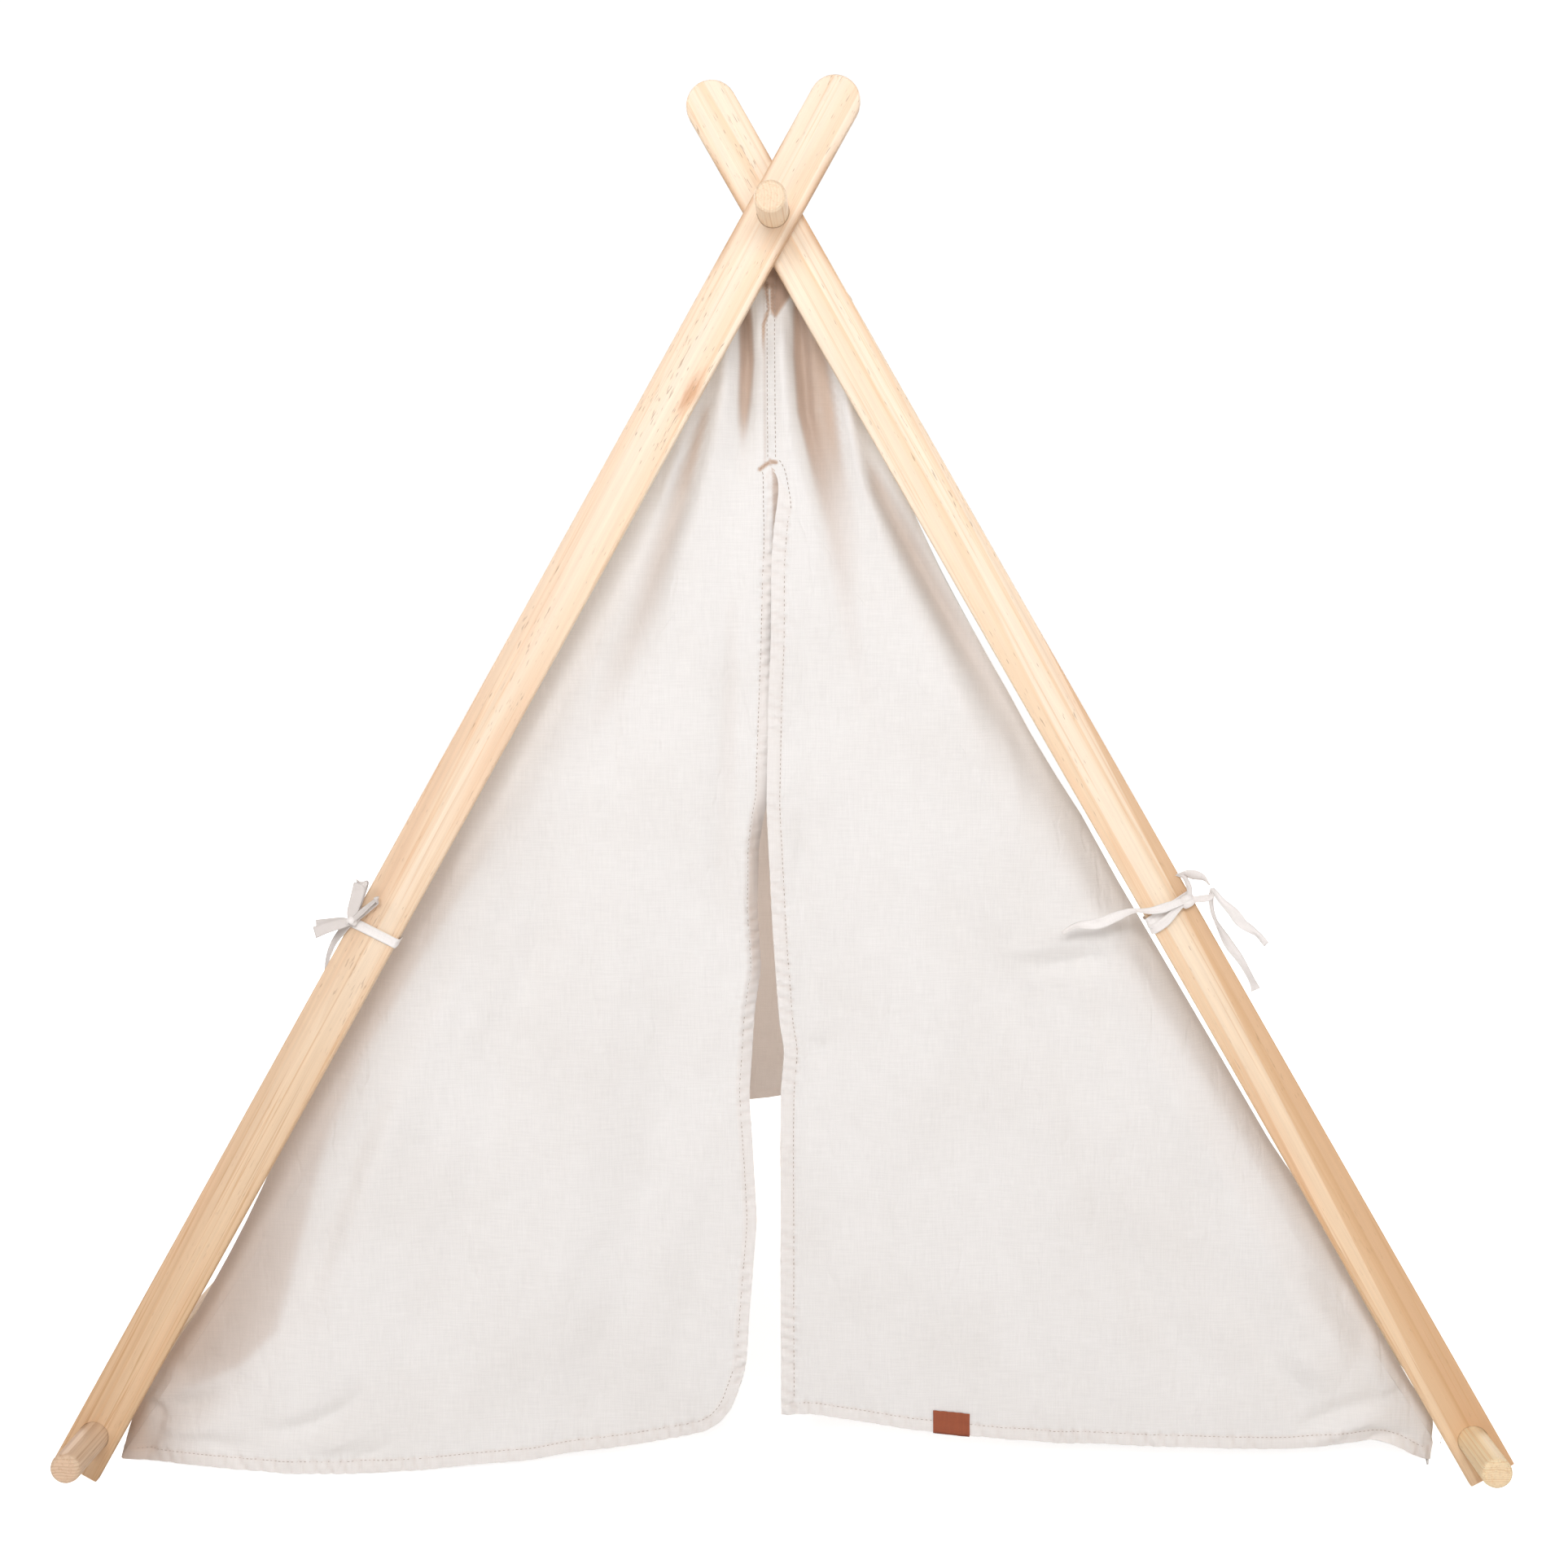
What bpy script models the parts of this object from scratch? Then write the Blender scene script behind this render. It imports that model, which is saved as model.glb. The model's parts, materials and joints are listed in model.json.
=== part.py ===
"""Play tent: two leaves of pine slats that hinge on a round ridge pole, under a cotton cover.

Metres, +Z up. The origin is on the floor under the middle of the ridge pole, and the doorway
faces -Y. Left and right are those of someone who stands in front of the doorway.
"""

import math

import bmesh
import bpy
from mathutils import Matrix, Vector
from mathutils.bvhtree import BVHTree

# Legs: four flat slats, each with a rounded tip and a square foot
SLAT_WIDTH = 0.040
SLAT_THICKNESS = 0.012
SLAT_EDGE_ROUND = 0.0015
TIP_REACH = 0.117
LEG_SPAN = 1.149
FOOT_REACH = 0.034
LEG_ANGLE = math.radians(29.9)

# Poles: one at the ridge, and one at the foot of each leaf
POLE_RADIUS = 0.0125
POLE_RIM_ROUND = 0.0045
POLE_REACH = 0.066
FRAME_DEPTH = 1.200

# Cover: plain cotton
CLOTH_THICKNESS = 0.0012
GABLE_SETBACK = 0.010
SLEEVE_SLACK = 0.0008
COVER_OFFSET_LOW = -0.022
COVER_FALL = 0.180
COVER_FALL_POWER = 1.5
COVER_FLOOR_CLEARANCE = 0.006
SIDE_SAG = 0.008
SIDE_SAG_START = 0.35
SIDE_SAG_LENGTH = 0.40

# Doorway: a slit below a seam, off centre by a few millimetres
SLIT_TOP_HEIGHT = 0.840
SEAM_X = -0.004
SLIT_LEFT_SPREAD = 0.022
SLIT_RIGHT_SPREAD = 0.004
FLAP_TOP_START = 0.012

# Folds in the hanging cloth, all measured out of the gable's plane
FLAP_FOLDS = 2.6
FLAP_FOLD_DEPTH = 0.009
FRONT_FOLDS = 3.0
FRONT_FOLD_DEPTH = 0.0025
BACK_FOLDS = 4.0
BACK_FOLD_DEPTH = 0.007
LEFT_BILLOW = 0.034
RIGHT_BILLOW = 0.012
BILLOW_SKEW = 1.5
FLAT_BY_FOLD_LINE = 0.3

# Hems: height above the floor at the corner, what it gains at the middle, and over what width
LEFT_HEM = (0.004, 0.046, 0.090)
RIGHT_HEM = (0.017, 0.033, 0.140)
BACK_HEM = (0.008, 0.084, 0.260)
HEM_POWER = 1.4

# Ties: cotton tape round each leg, knotted on its face
TIE_WIDTH = 0.009
TIE_THICKNESS = 0.0012
TIE_TAIL_WIDTH = 0.007
TIE_LAYER = 0.0004
LEFT_TIE_DROP = 0.657
RIGHT_TIE_DROP = 0.637
KNOT_SIZE = (0.010, 0.005, 0.008)
ROUTE_STEPS = 4

# Each route runs from the knot, as (out from the leg's centreline, up along the leg)
LEFT_TIE_KNOT = (0.018, 0.0)
LEFT_TIE_ROUTES = (
    ((0.025, 0.016), (0.028, 0.031)),
    ((0.017, 0.014), (0.012, 0.025)),
    ((0.032, -0.009), (0.040, -0.023)),
    ((0.026, -0.022), (0.018, -0.052)),
)
RIGHT_TIE_KNOT = (0.016, -0.002)
RIGHT_TIE_ROUTES = (
    ((0.000, 0.003), (-0.040, 0.018), (-0.087, 0.028)),
    ((0.018, 0.008), (0.015, 0.018)),
    ((0.029, -0.004), (0.022, -0.019), (0.015, -0.037)),
    ((0.038, -0.035), (0.051, -0.063)),
    ((0.026, -0.045), (0.027, -0.092)),
)

# Label: a blank woven tab folded over the right flap's hem
LABEL_LEFT = 0.128
LABEL_WIDTH = 0.032
LABEL_HEIGHT = 0.018
LABEL_THICKNESS = 0.0008
LABEL_GAP = 0.0006

# Clearances
HOLE_CLEARANCE = 0.0003
FIT_GAP = 0.0003
SEAM_GAP = 0.0005
HINGE_GAP = 0.0008

# Facets
ROUND_SEGMENTS = 32
TIP_SEGMENTS = 14

# Places that follow from the sizes
RIDGE_HEIGHT = (LEG_SPAN + FOOT_REACH) * math.cos(LEG_ANGLE) + SLAT_WIDTH / 2 * math.sin(LEG_ANGLE)
OUTER_SLAT_DEPTH = FRAME_DEPTH / 2 - SLAT_THICKNESS / 2
INNER_SLAT_DEPTH = OUTER_SLAT_DEPTH - SLAT_THICKNESS - FIT_GAP
SLAT_INNER_FACE = INNER_SLAT_DEPTH - SLAT_THICKNESS / 2
GABLE_DEPTH = SLAT_INNER_FACE - GABLE_SETBACK
SLEEVE_INNER_RADIUS = POLE_RADIUS + SLEEVE_SLACK
SLEEVE_RADIUS = SLEEVE_INNER_RADIUS + CLOTH_THICKNESS
COVER_OFFSET_TOP = SLEEVE_RADIUS + FIT_GAP + CLOTH_THICKNESS / 2
GABLE_TOP_HEIGHT = RIDGE_HEIGHT - SLEEVE_RADIUS - FIT_GAP
LEFT, RIGHT = -1, 1
FRONT, REAR = -1, 1


def clear_scene():
    for obj in list(bpy.data.objects):
        bpy.data.objects.remove(obj, do_unlink=True)


def material(name, color, roughness):
    made = bpy.data.materials.new(name)
    made.use_nodes = True
    shader = made.node_tree.nodes["Principled BSDF"]
    shader.inputs["Base Color"].default_value = (*color, 1.0)
    shader.inputs["Roughness"].default_value = roughness
    shader.inputs["Metallic"].default_value = 0.0
    return made


def add_object(name, bm, finish, parent=None, location=(0, 0, 0)):
    """An object from a bmesh in its parent's own frame."""
    bmesh.ops.recalc_face_normals(bm, faces=bm.faces)
    mesh = bpy.data.meshes.new(name)
    bm.to_mesh(mesh)
    bm.free()
    mesh.shade_smooth()
    mesh.set_sharp_from_angle(angle=math.radians(35))
    obj = bpy.data.objects.new(name, mesh)
    bpy.context.scene.collection.objects.link(obj)
    obj.location = location
    obj.parent = parent
    if finish:
        mesh.materials.append(finish)
    return obj


def add_hinge(name, matrix, parent=None):
    """An empty on a joint's axis."""
    hinge = bpy.data.objects.new(name, None)
    bpy.context.scene.collection.objects.link(hinge)
    hinge.empty_display_size = 0.05
    hinge.parent = parent
    hinge.matrix_world = matrix
    bpy.context.view_layer.update()
    return hinge


def keep_in_world(obj, parent):
    """Parents an object whose mesh is in world coordinates, and leaves it where it is."""
    obj.parent = parent
    obj.matrix_parent_inverse = parent.matrix_world.inverted()


def as_cutter(obj):
    obj.hide_render = True
    obj.display_type = "WIRE"


def add_boolean(obj, other, operation):
    modifier = obj.modifiers.new(other.name, "BOOLEAN")
    modifier.operation = operation
    modifier.object = other
    as_cutter(other)


def leg_point(side, drop, offset, depth=0.0):
    """The point that lies drop down a leg from the ridge axis and offset outward of its centreline."""
    down = Vector((side * math.sin(LEG_ANGLE), 0, -math.cos(LEG_ANGLE)))
    out = Vector((side * math.cos(LEG_ANGLE), 0, math.sin(LEG_ANGLE)))
    return Vector((0, depth, RIDGE_HEIGHT)) + down * drop + out * offset


def smooth_step(value):
    value = min(max(value, 0.0), 1.0)
    return value * value * (3 - 2 * value)


# Frame


def slat_mesh():
    """A slat in its leg's frame: the ridge axis at the origin, the foot down -Z."""
    half_width = SLAT_WIDTH / 2
    tip_centre = TIP_REACH - half_width
    foot = -LEG_SPAN - FOOT_REACH
    outline = [(-half_width, foot), (half_width, foot)]
    for step in range(TIP_SEGMENTS + 1):
        angle = math.pi * step / TIP_SEGMENTS
        outline.append((half_width * math.cos(angle), tip_centre + half_width * math.sin(angle)))
    bm = bmesh.new()
    corners = [bm.verts.new((x, -SLAT_THICKNESS / 2, z)) for x, z in outline]
    face = bm.faces.new(corners)
    grown = bmesh.ops.extrude_face_region(bm, geom=[face], use_keep_orig=True)
    far_corners = [item for item in grown["geom"] if isinstance(item, bmesh.types.BMVert)]
    bmesh.ops.translate(bm, verts=far_corners, vec=(0, SLAT_THICKNESS, 0))
    bmesh.ops.recalc_face_normals(bm, faces=bm.faces)
    rims = []
    for edge in bm.edges:
        first, second = edge.verts
        runs_through = abs(first.co.y - second.co.y) > SLAT_THICKNESS / 2
        at_foot = max(first.co.z, second.co.z) < foot + half_width
        if not runs_through and not at_foot:
            rims.append(edge)
    bmesh.ops.bevel(bm, geom=rims, offset=SLAT_EDGE_ROUND, segments=2, profile=0.5, affect="EDGES")
    return bm


def bore_cutter(name, parent, location):
    bm = bmesh.new()
    bmesh.ops.create_cone(
        bm,
        cap_ends=True,
        segments=ROUND_SEGMENTS,
        radius1=POLE_RADIUS + HOLE_CLEARANCE,
        radius2=POLE_RADIUS + HOLE_CLEARANCE,
        depth=2 * FRAME_DEPTH,
        matrix=Matrix.Rotation(math.radians(90), 4, "X"),
    )
    cutter = add_object(name, bm, None, parent, location)
    as_cutter(cutter)
    return cutter


def add_pole(name, slat_depth, finish, parent, location):
    """A pole that stands out beyond the slats that carry it, whose middle planes lie slat_depth from the centre."""
    bm = bmesh.new()
    bmesh.ops.create_cone(
        bm,
        cap_ends=True,
        segments=ROUND_SEGMENTS,
        radius1=POLE_RADIUS,
        radius2=POLE_RADIUS,
        depth=2 * (slat_depth + SLAT_THICKNESS / 2 + POLE_REACH),
        matrix=Matrix.Rotation(math.radians(90), 4, "X"),
    )
    pole = add_object(name, bm, finish, parent, location)
    rim = pole.modifiers.new("rounded_rim", "BEVEL")
    rim.width = min(POLE_RIM_ROUND, POLE_RADIUS / 2)
    rim.segments = 3
    rim.limit_method = "ANGLE"
    rim.angle_limit = math.radians(60)
    return pole


def add_frame(ridge, leaves, wood, pole_wood):
    """The ridge pole, and on each leaf two slats and a base pole. The left leaf's slats lie outside."""
    add_pole("ridge_pole", OUTER_SLAT_DEPTH, pole_wood, ridge, (0, 0, 0))
    ridge_bore = bore_cutter("cut_ridge_bore", ridge, (0, 0, 0))
    layers = {LEFT: OUTER_SLAT_DEPTH, RIGHT: INNER_SLAT_DEPTH}
    for side, word in ((LEFT, "left"), (RIGHT, "right")):
        base = (0, 0, -LEG_SPAN)
        base_bore = bore_cutter(f"cut_base_bore_{word}", leaves[side], base)
        add_pole(f"base_pole_{word}", layers[side], pole_wood, leaves[side], base)
        for end, end_word in ((FRONT, "front"), (REAR, "rear")):
            place = (0, end * layers[side], 0)
            leg = add_object(f"leg_{end_word}_{word}", slat_mesh(), wood, leaves[side], place)
            add_boolean(leg, ridge_bore, "DIFFERENCE")
            add_boolean(leg, base_bore, "DIFFERENCE")


# Cover


def cover_offset(drop):
    """How far outward of a leg's centreline the cover's side lies: over the sleeve, then inside the leg."""
    fall = math.exp(-((drop / COVER_FALL) ** COVER_FALL_POWER))
    return COVER_OFFSET_LOW + (COVER_OFFSET_TOP - COVER_OFFSET_LOW) * fall


def cover_drop_at(height):
    """How far down the leg the cover's side reaches a height, found by halving."""
    low, high = 0.0, LEG_SPAN + FOOT_REACH
    for _ in range(40):
        middle = (low + high) / 2
        if leg_point(LEFT, middle, cover_offset(middle)).z > height:
            low = middle
        else:
            high = middle
    return low


def gable_edge(side, drop):
    """Where a gable's edge meets the cover's side: just inside it."""
    return leg_point(side, drop, cover_offset(drop) - CLOTH_THICKNESS / 2 - SEAM_GAP)


def add_cloth(name, rows, thickness, finish, parent):
    """A closed sheet of cloth: a grid of points, thickened evenly along one direction."""
    bm = bmesh.new()
    shift = Vector(thickness) / 2
    grid = [[bm.verts.new(point - shift) for point in row] for row in rows]
    for upper, lower in zip(grid, grid[1:]):
        for i in range(len(upper) - 1):
            bm.faces.new((upper[i], upper[i + 1], lower[i + 1], lower[i]))
    grown = bmesh.ops.extrude_face_region(bm, geom=list(bm.faces), use_keep_orig=True)
    far_side = [item for item in grown["geom"] if isinstance(item, bmesh.types.BMVert)]
    bmesh.ops.translate(bm, verts=far_side, vec=thickness)
    cloth = add_object(name, bm, finish)
    keep_in_world(cloth, parent)
    return cloth


def steps(count, start=0.0, end=1.0):
    return [start + (end - start) * i / count for i in range(count + 1)]


def add_ridge_sleeve(finish, ridge):
    """The cover's channel, a loose tube round the ridge pole between the inner slats."""
    bm = bmesh.new()
    bmesh.ops.create_cone(
        bm,
        cap_ends=False,
        segments=ROUND_SEGMENTS,
        radius1=SLEEVE_INNER_RADIUS,
        radius2=SLEEVE_INNER_RADIUS,
        depth=2 * (SLAT_INNER_FACE - FIT_GAP),
        matrix=Matrix.Rotation(math.radians(90), 4, "X"),
    )
    sleeve = add_object("ridge_sleeve", bm, finish, ridge)
    wall = sleeve.modifiers.new("cloth", "SOLIDIFY")
    wall.thickness = CLOTH_THICKNESS
    wall.offset = 1.0
    wall.use_even_offset = True


def add_side_panel(side, word, finish, leaf):
    """The cover's sloping side: it leaves the sleeve's flank, falls inside the leg and sags between its ends."""
    last_drop = cover_drop_at(COVER_FLOOR_CLEARANCE)
    reach = GABLE_DEPTH + CLOTH_THICKNESS / 2
    rows = []
    for down in steps(24):
        drop = last_drop * down**1.25
        row = []
        for along in steps(10):
            sag = SIDE_SAG * math.sin(math.pi * along) * smooth_step((drop - SIDE_SAG_START) / SIDE_SAG_LENGTH)
            row.append(leg_point(side, drop, cover_offset(drop) - sag, reach * (2 * along - 1)))
        rows.append(row)
    thickness = leg_point(side, 0, CLOTH_THICKNESS) - leg_point(side, 0, 0)
    add_cloth(f"side_panel_{word}", rows, thickness, finish, leaf)


def hem_height(hem, distance):
    """A hem's height at a distance from the middle: it rises toward the middle of the tent."""
    corner, rise, width = hem
    return corner + rise * math.exp(-((abs(distance) / width) ** HEM_POWER))


def gable_point(flat, forward, end):
    """A point of a gable, from its place in the gable's plane and how far it stands out of it."""
    return Vector((flat.x, end * (GABLE_DEPTH + forward), flat.z))


def fold_line(side, hem):
    """A door flap's hinge: from the slit's top to the gable's lower corner."""
    corner = gable_edge(side, cover_drop_at(hem[0] + COVER_FLOOR_CLEARANCE))
    corner.z = hem_height(hem, corner.x)
    return Vector((SEAM_X, 0, SLIT_TOP_HEIGHT)), corner


def beyond_fold_line(top, corner, distance):
    """A fold line moved away from the slit, with its upper end kept on the seam."""
    line = (corner - top).normalized()
    away = Vector((-line.z * math.copysign(1, line.x), 0, abs(line.x)))
    return top + Vector((0, 0, distance / abs(line.x))), corner + away * distance


def add_front_panel(side, word, hem, finish, leaf):
    """The gable's fixed upper part, from the seam and the fold line out to the cover's side."""
    fixed_top, fixed_corner = beyond_fold_line(*fold_line(side, hem), HINGE_GAP)
    fixed_top.x += side * SEAM_GAP / 2
    top_drop = cover_drop_at(GABLE_TOP_HEIGHT)
    slit_drop = cover_drop_at(fixed_top.z)
    last_drop = cover_drop_at(fixed_corner.z)
    rows = []
    for down in steps(5)[:-1]:
        inner = Vector((fixed_top.x, 0, GABLE_TOP_HEIGHT + (fixed_top.z - GABLE_TOP_HEIGHT) * down))
        rows.append((inner, gable_edge(side, top_drop + (slit_drop - top_drop) * down)))
    for down in steps(16, end=0.975):
        inner = fixed_top.lerp(fixed_corner, down)
        rows.append((inner, gable_edge(side, slit_drop + (last_drop - slit_drop) * down)))
    grid = []
    for inner, outer in rows:
        row = []
        for across in steps(5):
            wave = math.sin(math.pi * FRONT_FOLDS * across)
            spread = min(1.0, (outer - inner).length / (4 * SLAT_WIDTH))
            row.append(gable_point(inner.lerp(outer, across), FRONT_FOLD_DEPTH * wave * spread, FRONT))
        grid.append(row)
    add_cloth(f"front_panel_{word}", grid, (0, CLOTH_THICKNESS, 0), finish, leaf)


def flap_forward(side, across, down):
    """How far a door flap stands forward: folds that fan out from the slit's top, and slack at the floor."""
    free = smooth_step((1 - across) / FLAT_BY_FOLD_LINE)
    folds = FLAP_FOLD_DEPTH * math.sin(2 * math.pi * FLAP_FOLDS * across + side) * free
    billow = LEFT_BILLOW if side == LEFT else RIGHT_BILLOW
    return folds * down + billow * math.sin(math.pi * across**BILLOW_SKEW) ** 2 * down**3


def slit_edge(side, hem):
    """The ends of a door flap's free edge: just below the seam, and at the hem."""
    spread = SLIT_LEFT_SPREAD if side == LEFT else SLIT_RIGHT_SPREAD
    hem_x = SEAM_X + side * spread
    start = Vector((SEAM_X + side * SEAM_GAP, 0, SLIT_TOP_HEIGHT))
    return start, Vector((hem_x, 0, hem_height(hem, hem_x)))


def add_door_flap(side, word, hem, finish, leaf):
    """A door flap hung on its fold line, where its parent empty lies, with the line of its hem."""
    top, corner = fold_line(side, hem)
    hinge = add_hinge(f"door_hinge_{word}", Matrix.Translation(gable_point(top, 0, FRONT)), leaf)
    slit_top, slit_foot = slit_edge(side, hem)
    grid = []
    for down in steps(16, start=FLAP_TOP_START):
        free = slit_top.lerp(slit_foot, down)
        hung = top.lerp(corner, down)
        row = []
        for across in steps(18):
            flat = free.lerp(hung, across)
            straight_hem = slit_foot.lerp(corner, across)
            flat.z += (hem_height(hem, straight_hem.x) - straight_hem.z) * down
            row.append(gable_point(flat, flap_forward(side, across, down), FRONT))
        grid.append(row)
    flap = add_cloth(f"door_flap_{word}", grid, (0, CLOTH_THICKNESS, 0), finish, hinge)
    return hinge, flap, grid[-1]


def add_back_panel(side, word, finish, leaf):
    """Half of the rear gable, from the middle seam out to the cover's side."""
    top_drop = cover_drop_at(GABLE_TOP_HEIGHT)
    last_drop = cover_drop_at(BACK_HEM[0] + COVER_FLOOR_CLEARANCE)
    seam_x = side * SEAM_GAP / 2
    seam_hem = hem_height(BACK_HEM, seam_x)
    grid = []
    for down in steps(14):
        seam = Vector((seam_x, 0, GABLE_TOP_HEIGHT + (seam_hem - GABLE_TOP_HEIGHT) * down))
        outer = gable_edge(side, top_drop + (last_drop - top_drop) * down)
        row = []
        for across in steps(12):
            flat = seam.lerp(outer, across)
            straight_hem = seam_hem + (outer.z - seam_hem) * across
            flat.z += (hem_height(BACK_HEM, flat.x) - straight_hem) * down**3 * math.sin(math.pi * across)
            wave = math.sin(2 * math.pi * BACK_FOLDS * across) * (1 - across**3)
            row.append(gable_point(flat, -BACK_FOLD_DEPTH * wave * down, REAR))
        grid.append(row)
    add_cloth(f"back_panel_{word}", grid, (0, CLOTH_THICKNESS, 0), finish, leaf)


# Trim


def sweep(sections):
    """A closed body through loops of points, with flat ends."""
    bm = bmesh.new()
    loops = [[bm.verts.new(point) for point in section] for section in sections]
    count = len(sections[0])
    for first, second in zip(loops, loops[1:]):
        for i in range(count):
            following = (i + 1) % count
            bm.faces.new((first[i], first[following], second[following], second[i]))
    bm.faces.new(loops[0])
    bm.faces.new(loops[-1])
    return bm


def height_on_line(points, x):
    """The height at x of a line of points that runs along X."""
    for first, second in zip(points, points[1:]):
        if min(first.x, second.x) <= x <= max(first.x, second.x):
            return first.lerp(second, (x - first.x) / (second.x - first.x)).z
    return points[-1].z


def add_hem_label(finish, hinge, flap, hem_line):
    """The tab follows the flap's two faces and goes round its hem."""
    flap.data.calc_loop_triangles()
    triangles = [list(triangle.vertices) for triangle in flap.data.loop_triangles]
    surface = BVHTree.FromPolygons([vertex.co for vertex in flap.data.vertices], triangles)
    sections = []
    for x in steps(8, start=LABEL_LEFT, end=LABEL_LEFT + LABEL_WIDTH):
        hem = height_on_line(hem_line, x)
        section = []
        for clear in (LABEL_GAP, LABEL_GAP + LABEL_THICKNESS):
            heights = [hem + LABEL_HEIGHT, hem + LABEL_HEIGHT / 2, hem - clear]
            layer = []
            for face, order in ((FRONT, heights), (REAR, heights[::-1])):
                for height in order:
                    start = Vector((x, face, max(height, hem + LABEL_GAP)))
                    hit = surface.ray_cast(start, Vector((0, -face, 0)))[0]
                    layer.append(Vector((x, hit.y + face * clear, height)))
            section += layer if clear == LABEL_GAP else layer[::-1]
        sections.append(section)
    keep_in_world(add_object("hem_label", sweep(sections), finish), hinge)


def rounded_rectangle(width, height, radius, corner_steps=3):
    loop = []
    for quarter in range(4):
        for step in range(corner_steps + 1):
            angle = math.pi / 2 * (quarter + step / corner_steps)
            sign_x = 1 if quarter in (0, 3) else -1
            sign_y = 1 if quarter in (0, 1) else -1
            x = sign_x * (width / 2 - radius) + radius * math.cos(angle)
            y = sign_y * (height / 2 - radius) + radius * math.sin(angle)
            loop.append((x, y))
    return loop


def tie_band_mesh():
    """Tape once round a leg, with the leg's centre at the origin."""
    clear_width = SLAT_WIDTH + 2 * FIT_GAP
    clear_depth = SLAT_THICKNESS + 2 * FIT_GAP
    inner = rounded_rectangle(clear_width, clear_depth, SLAT_EDGE_ROUND / 2)
    grown = 2 * TIE_THICKNESS
    outer = rounded_rectangle(clear_width + grown, clear_depth + grown, SLAT_EDGE_ROUND / 2 + TIE_THICKNESS)
    bm = bmesh.new()
    loops = []
    for z, outline in ((-1, inner), (-1, outer), (1, outer), (1, inner)):
        loops.append([bm.verts.new((x, y, z * TIE_WIDTH / 2)) for x, y in outline])
    for first, second in zip(loops, loops[1:] + loops[:1]):
        for i in range(len(first)):
            following = (i + 1) % len(first)
            bm.faces.new((first[i], first[following], second[following], second[i]))
    return bm


def smooth_route(points):
    """A curve through every point of a route."""
    padded = [points[0] * 2 - points[1], *points, points[-1] * 2 - points[-2]]
    route = []
    for before, first, second, after in zip(padded, padded[1:], padded[2:], padded[3:]):
        for step in range(ROUTE_STEPS):
            t = step / ROUTE_STEPS
            route.append(
                0.5
                * (
                    2 * first
                    + (second - before) * t
                    + (2 * before - 5 * first + 4 * second - after) * t**2
                    + (3 * first - before - 3 * second + after) * t**3
                )
            )
    route.append(points[-1])
    return route


def tape_mesh(points):
    """Flat tape along a route that lies in one plane across Y."""
    route = smooth_route(points)
    sections = []
    for i, point in enumerate(route):
        ahead = route[min(i + 1, len(route) - 1)]
        behind = route[max(i - 1, 0)]
        run = (ahead - behind).normalized()
        wide = Vector((-run.z, 0, run.x)) * TIE_TAIL_WIDTH / 2
        deep = Vector((0, TIE_THICKNESS / 2, 0))
        sections.append([point - wide - deep, point + wide - deep, point + wide + deep, point - wide + deep])
    return sweep(sections)


def add_tie(name, side, end, drop, depth, knot, routes, finish, leaf):
    """A tie: its band round the leg, its knot on the leg's outer face, and the tape's loops and tails."""
    centre = Vector((0, end * depth, -drop))
    tie = add_object(name, tie_band_mesh(), finish, leaf, centre)
    knot_depth = SLAT_THICKNESS / 2 + FIT_GAP + KNOT_SIZE[1]
    knot_place = Vector((side * knot[0], end * knot_depth, knot[1]))
    bm = bmesh.new()
    bmesh.ops.create_uvsphere(bm, u_segments=12, v_segments=8, radius=1.0)
    bmesh.ops.scale(bm, vec=KNOT_SIZE, verts=bm.verts)
    add_boolean(tie, add_object(f"cut_{name}_knot", bm, None, leaf, centre + knot_place), "UNION")
    for i, route in enumerate(routes):
        level = end * (knot_depth + TIE_LAYER * (i - len(routes) / 2))
        points = [Vector((side * out, level, up)) for out, up in (knot, *route)]
        tape = add_object(f"cut_{name}_tape_{i + 1}", tape_mesh(points), None, leaf, centre)
        add_boolean(tie, tape, "UNION")


def main():
    clear_scene()
    wood = material("pine_slat", (0.80, 0.60, 0.38), 0.55)
    pole_wood = material("pine_pole", (0.82, 0.64, 0.42), 0.50)
    cotton = material("cotton", (0.80, 0.77, 0.72), 0.90)
    tape = material("cotton_tape", (0.78, 0.75, 0.70), 0.90)
    label = material("label_brown", (0.30, 0.08, 0.035), 0.80)

    at_ridge = Matrix.Translation((0, 0, RIDGE_HEIGHT))
    ridge = add_hinge("ridge_axis", at_ridge)
    leaves = {}
    for side, word in ((LEFT, "left"), (RIGHT, "right")):
        lean = Matrix.Rotation(-side * LEG_ANGLE, 4, "Y")
        leaves[side] = add_hinge(f"leaf_{word}_axis", at_ridge @ lean, ridge)

    add_frame(ridge, leaves, wood, pole_wood)
    add_ridge_sleeve(cotton, ridge)
    flaps = {}
    for side, word, hem in ((LEFT, "left", LEFT_HEM), (RIGHT, "right", RIGHT_HEM)):
        add_side_panel(side, word, cotton, leaves[side])
        add_front_panel(side, word, hem, cotton, leaves[side])
        flaps[side] = add_door_flap(side, word, hem, cotton, leaves[side])
        add_back_panel(side, word, cotton, leaves[side])
    add_hem_label(label, *flaps[RIGHT])
    for end, word in ((FRONT, "front"), (REAR, "rear")):
        add_tie(
            f"tie_{word}_left", LEFT, end, LEFT_TIE_DROP, OUTER_SLAT_DEPTH,
            LEFT_TIE_KNOT, LEFT_TIE_ROUTES, tape, leaves[LEFT],
        )
        add_tie(
            f"tie_{word}_right", RIGHT, end, RIGHT_TIE_DROP, INNER_SLAT_DEPTH,
            RIGHT_TIE_KNOT, RIGHT_TIE_ROUTES, tape, leaves[RIGHT],
        )


main()
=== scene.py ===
"""Play tent: the pine frame's finishes and the cotton cover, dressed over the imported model."""

import json
import math
from functools import partial

import bmesh
import bpy
import numpy as np
from mathutils import Matrix, Vector, geometry, noise

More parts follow.
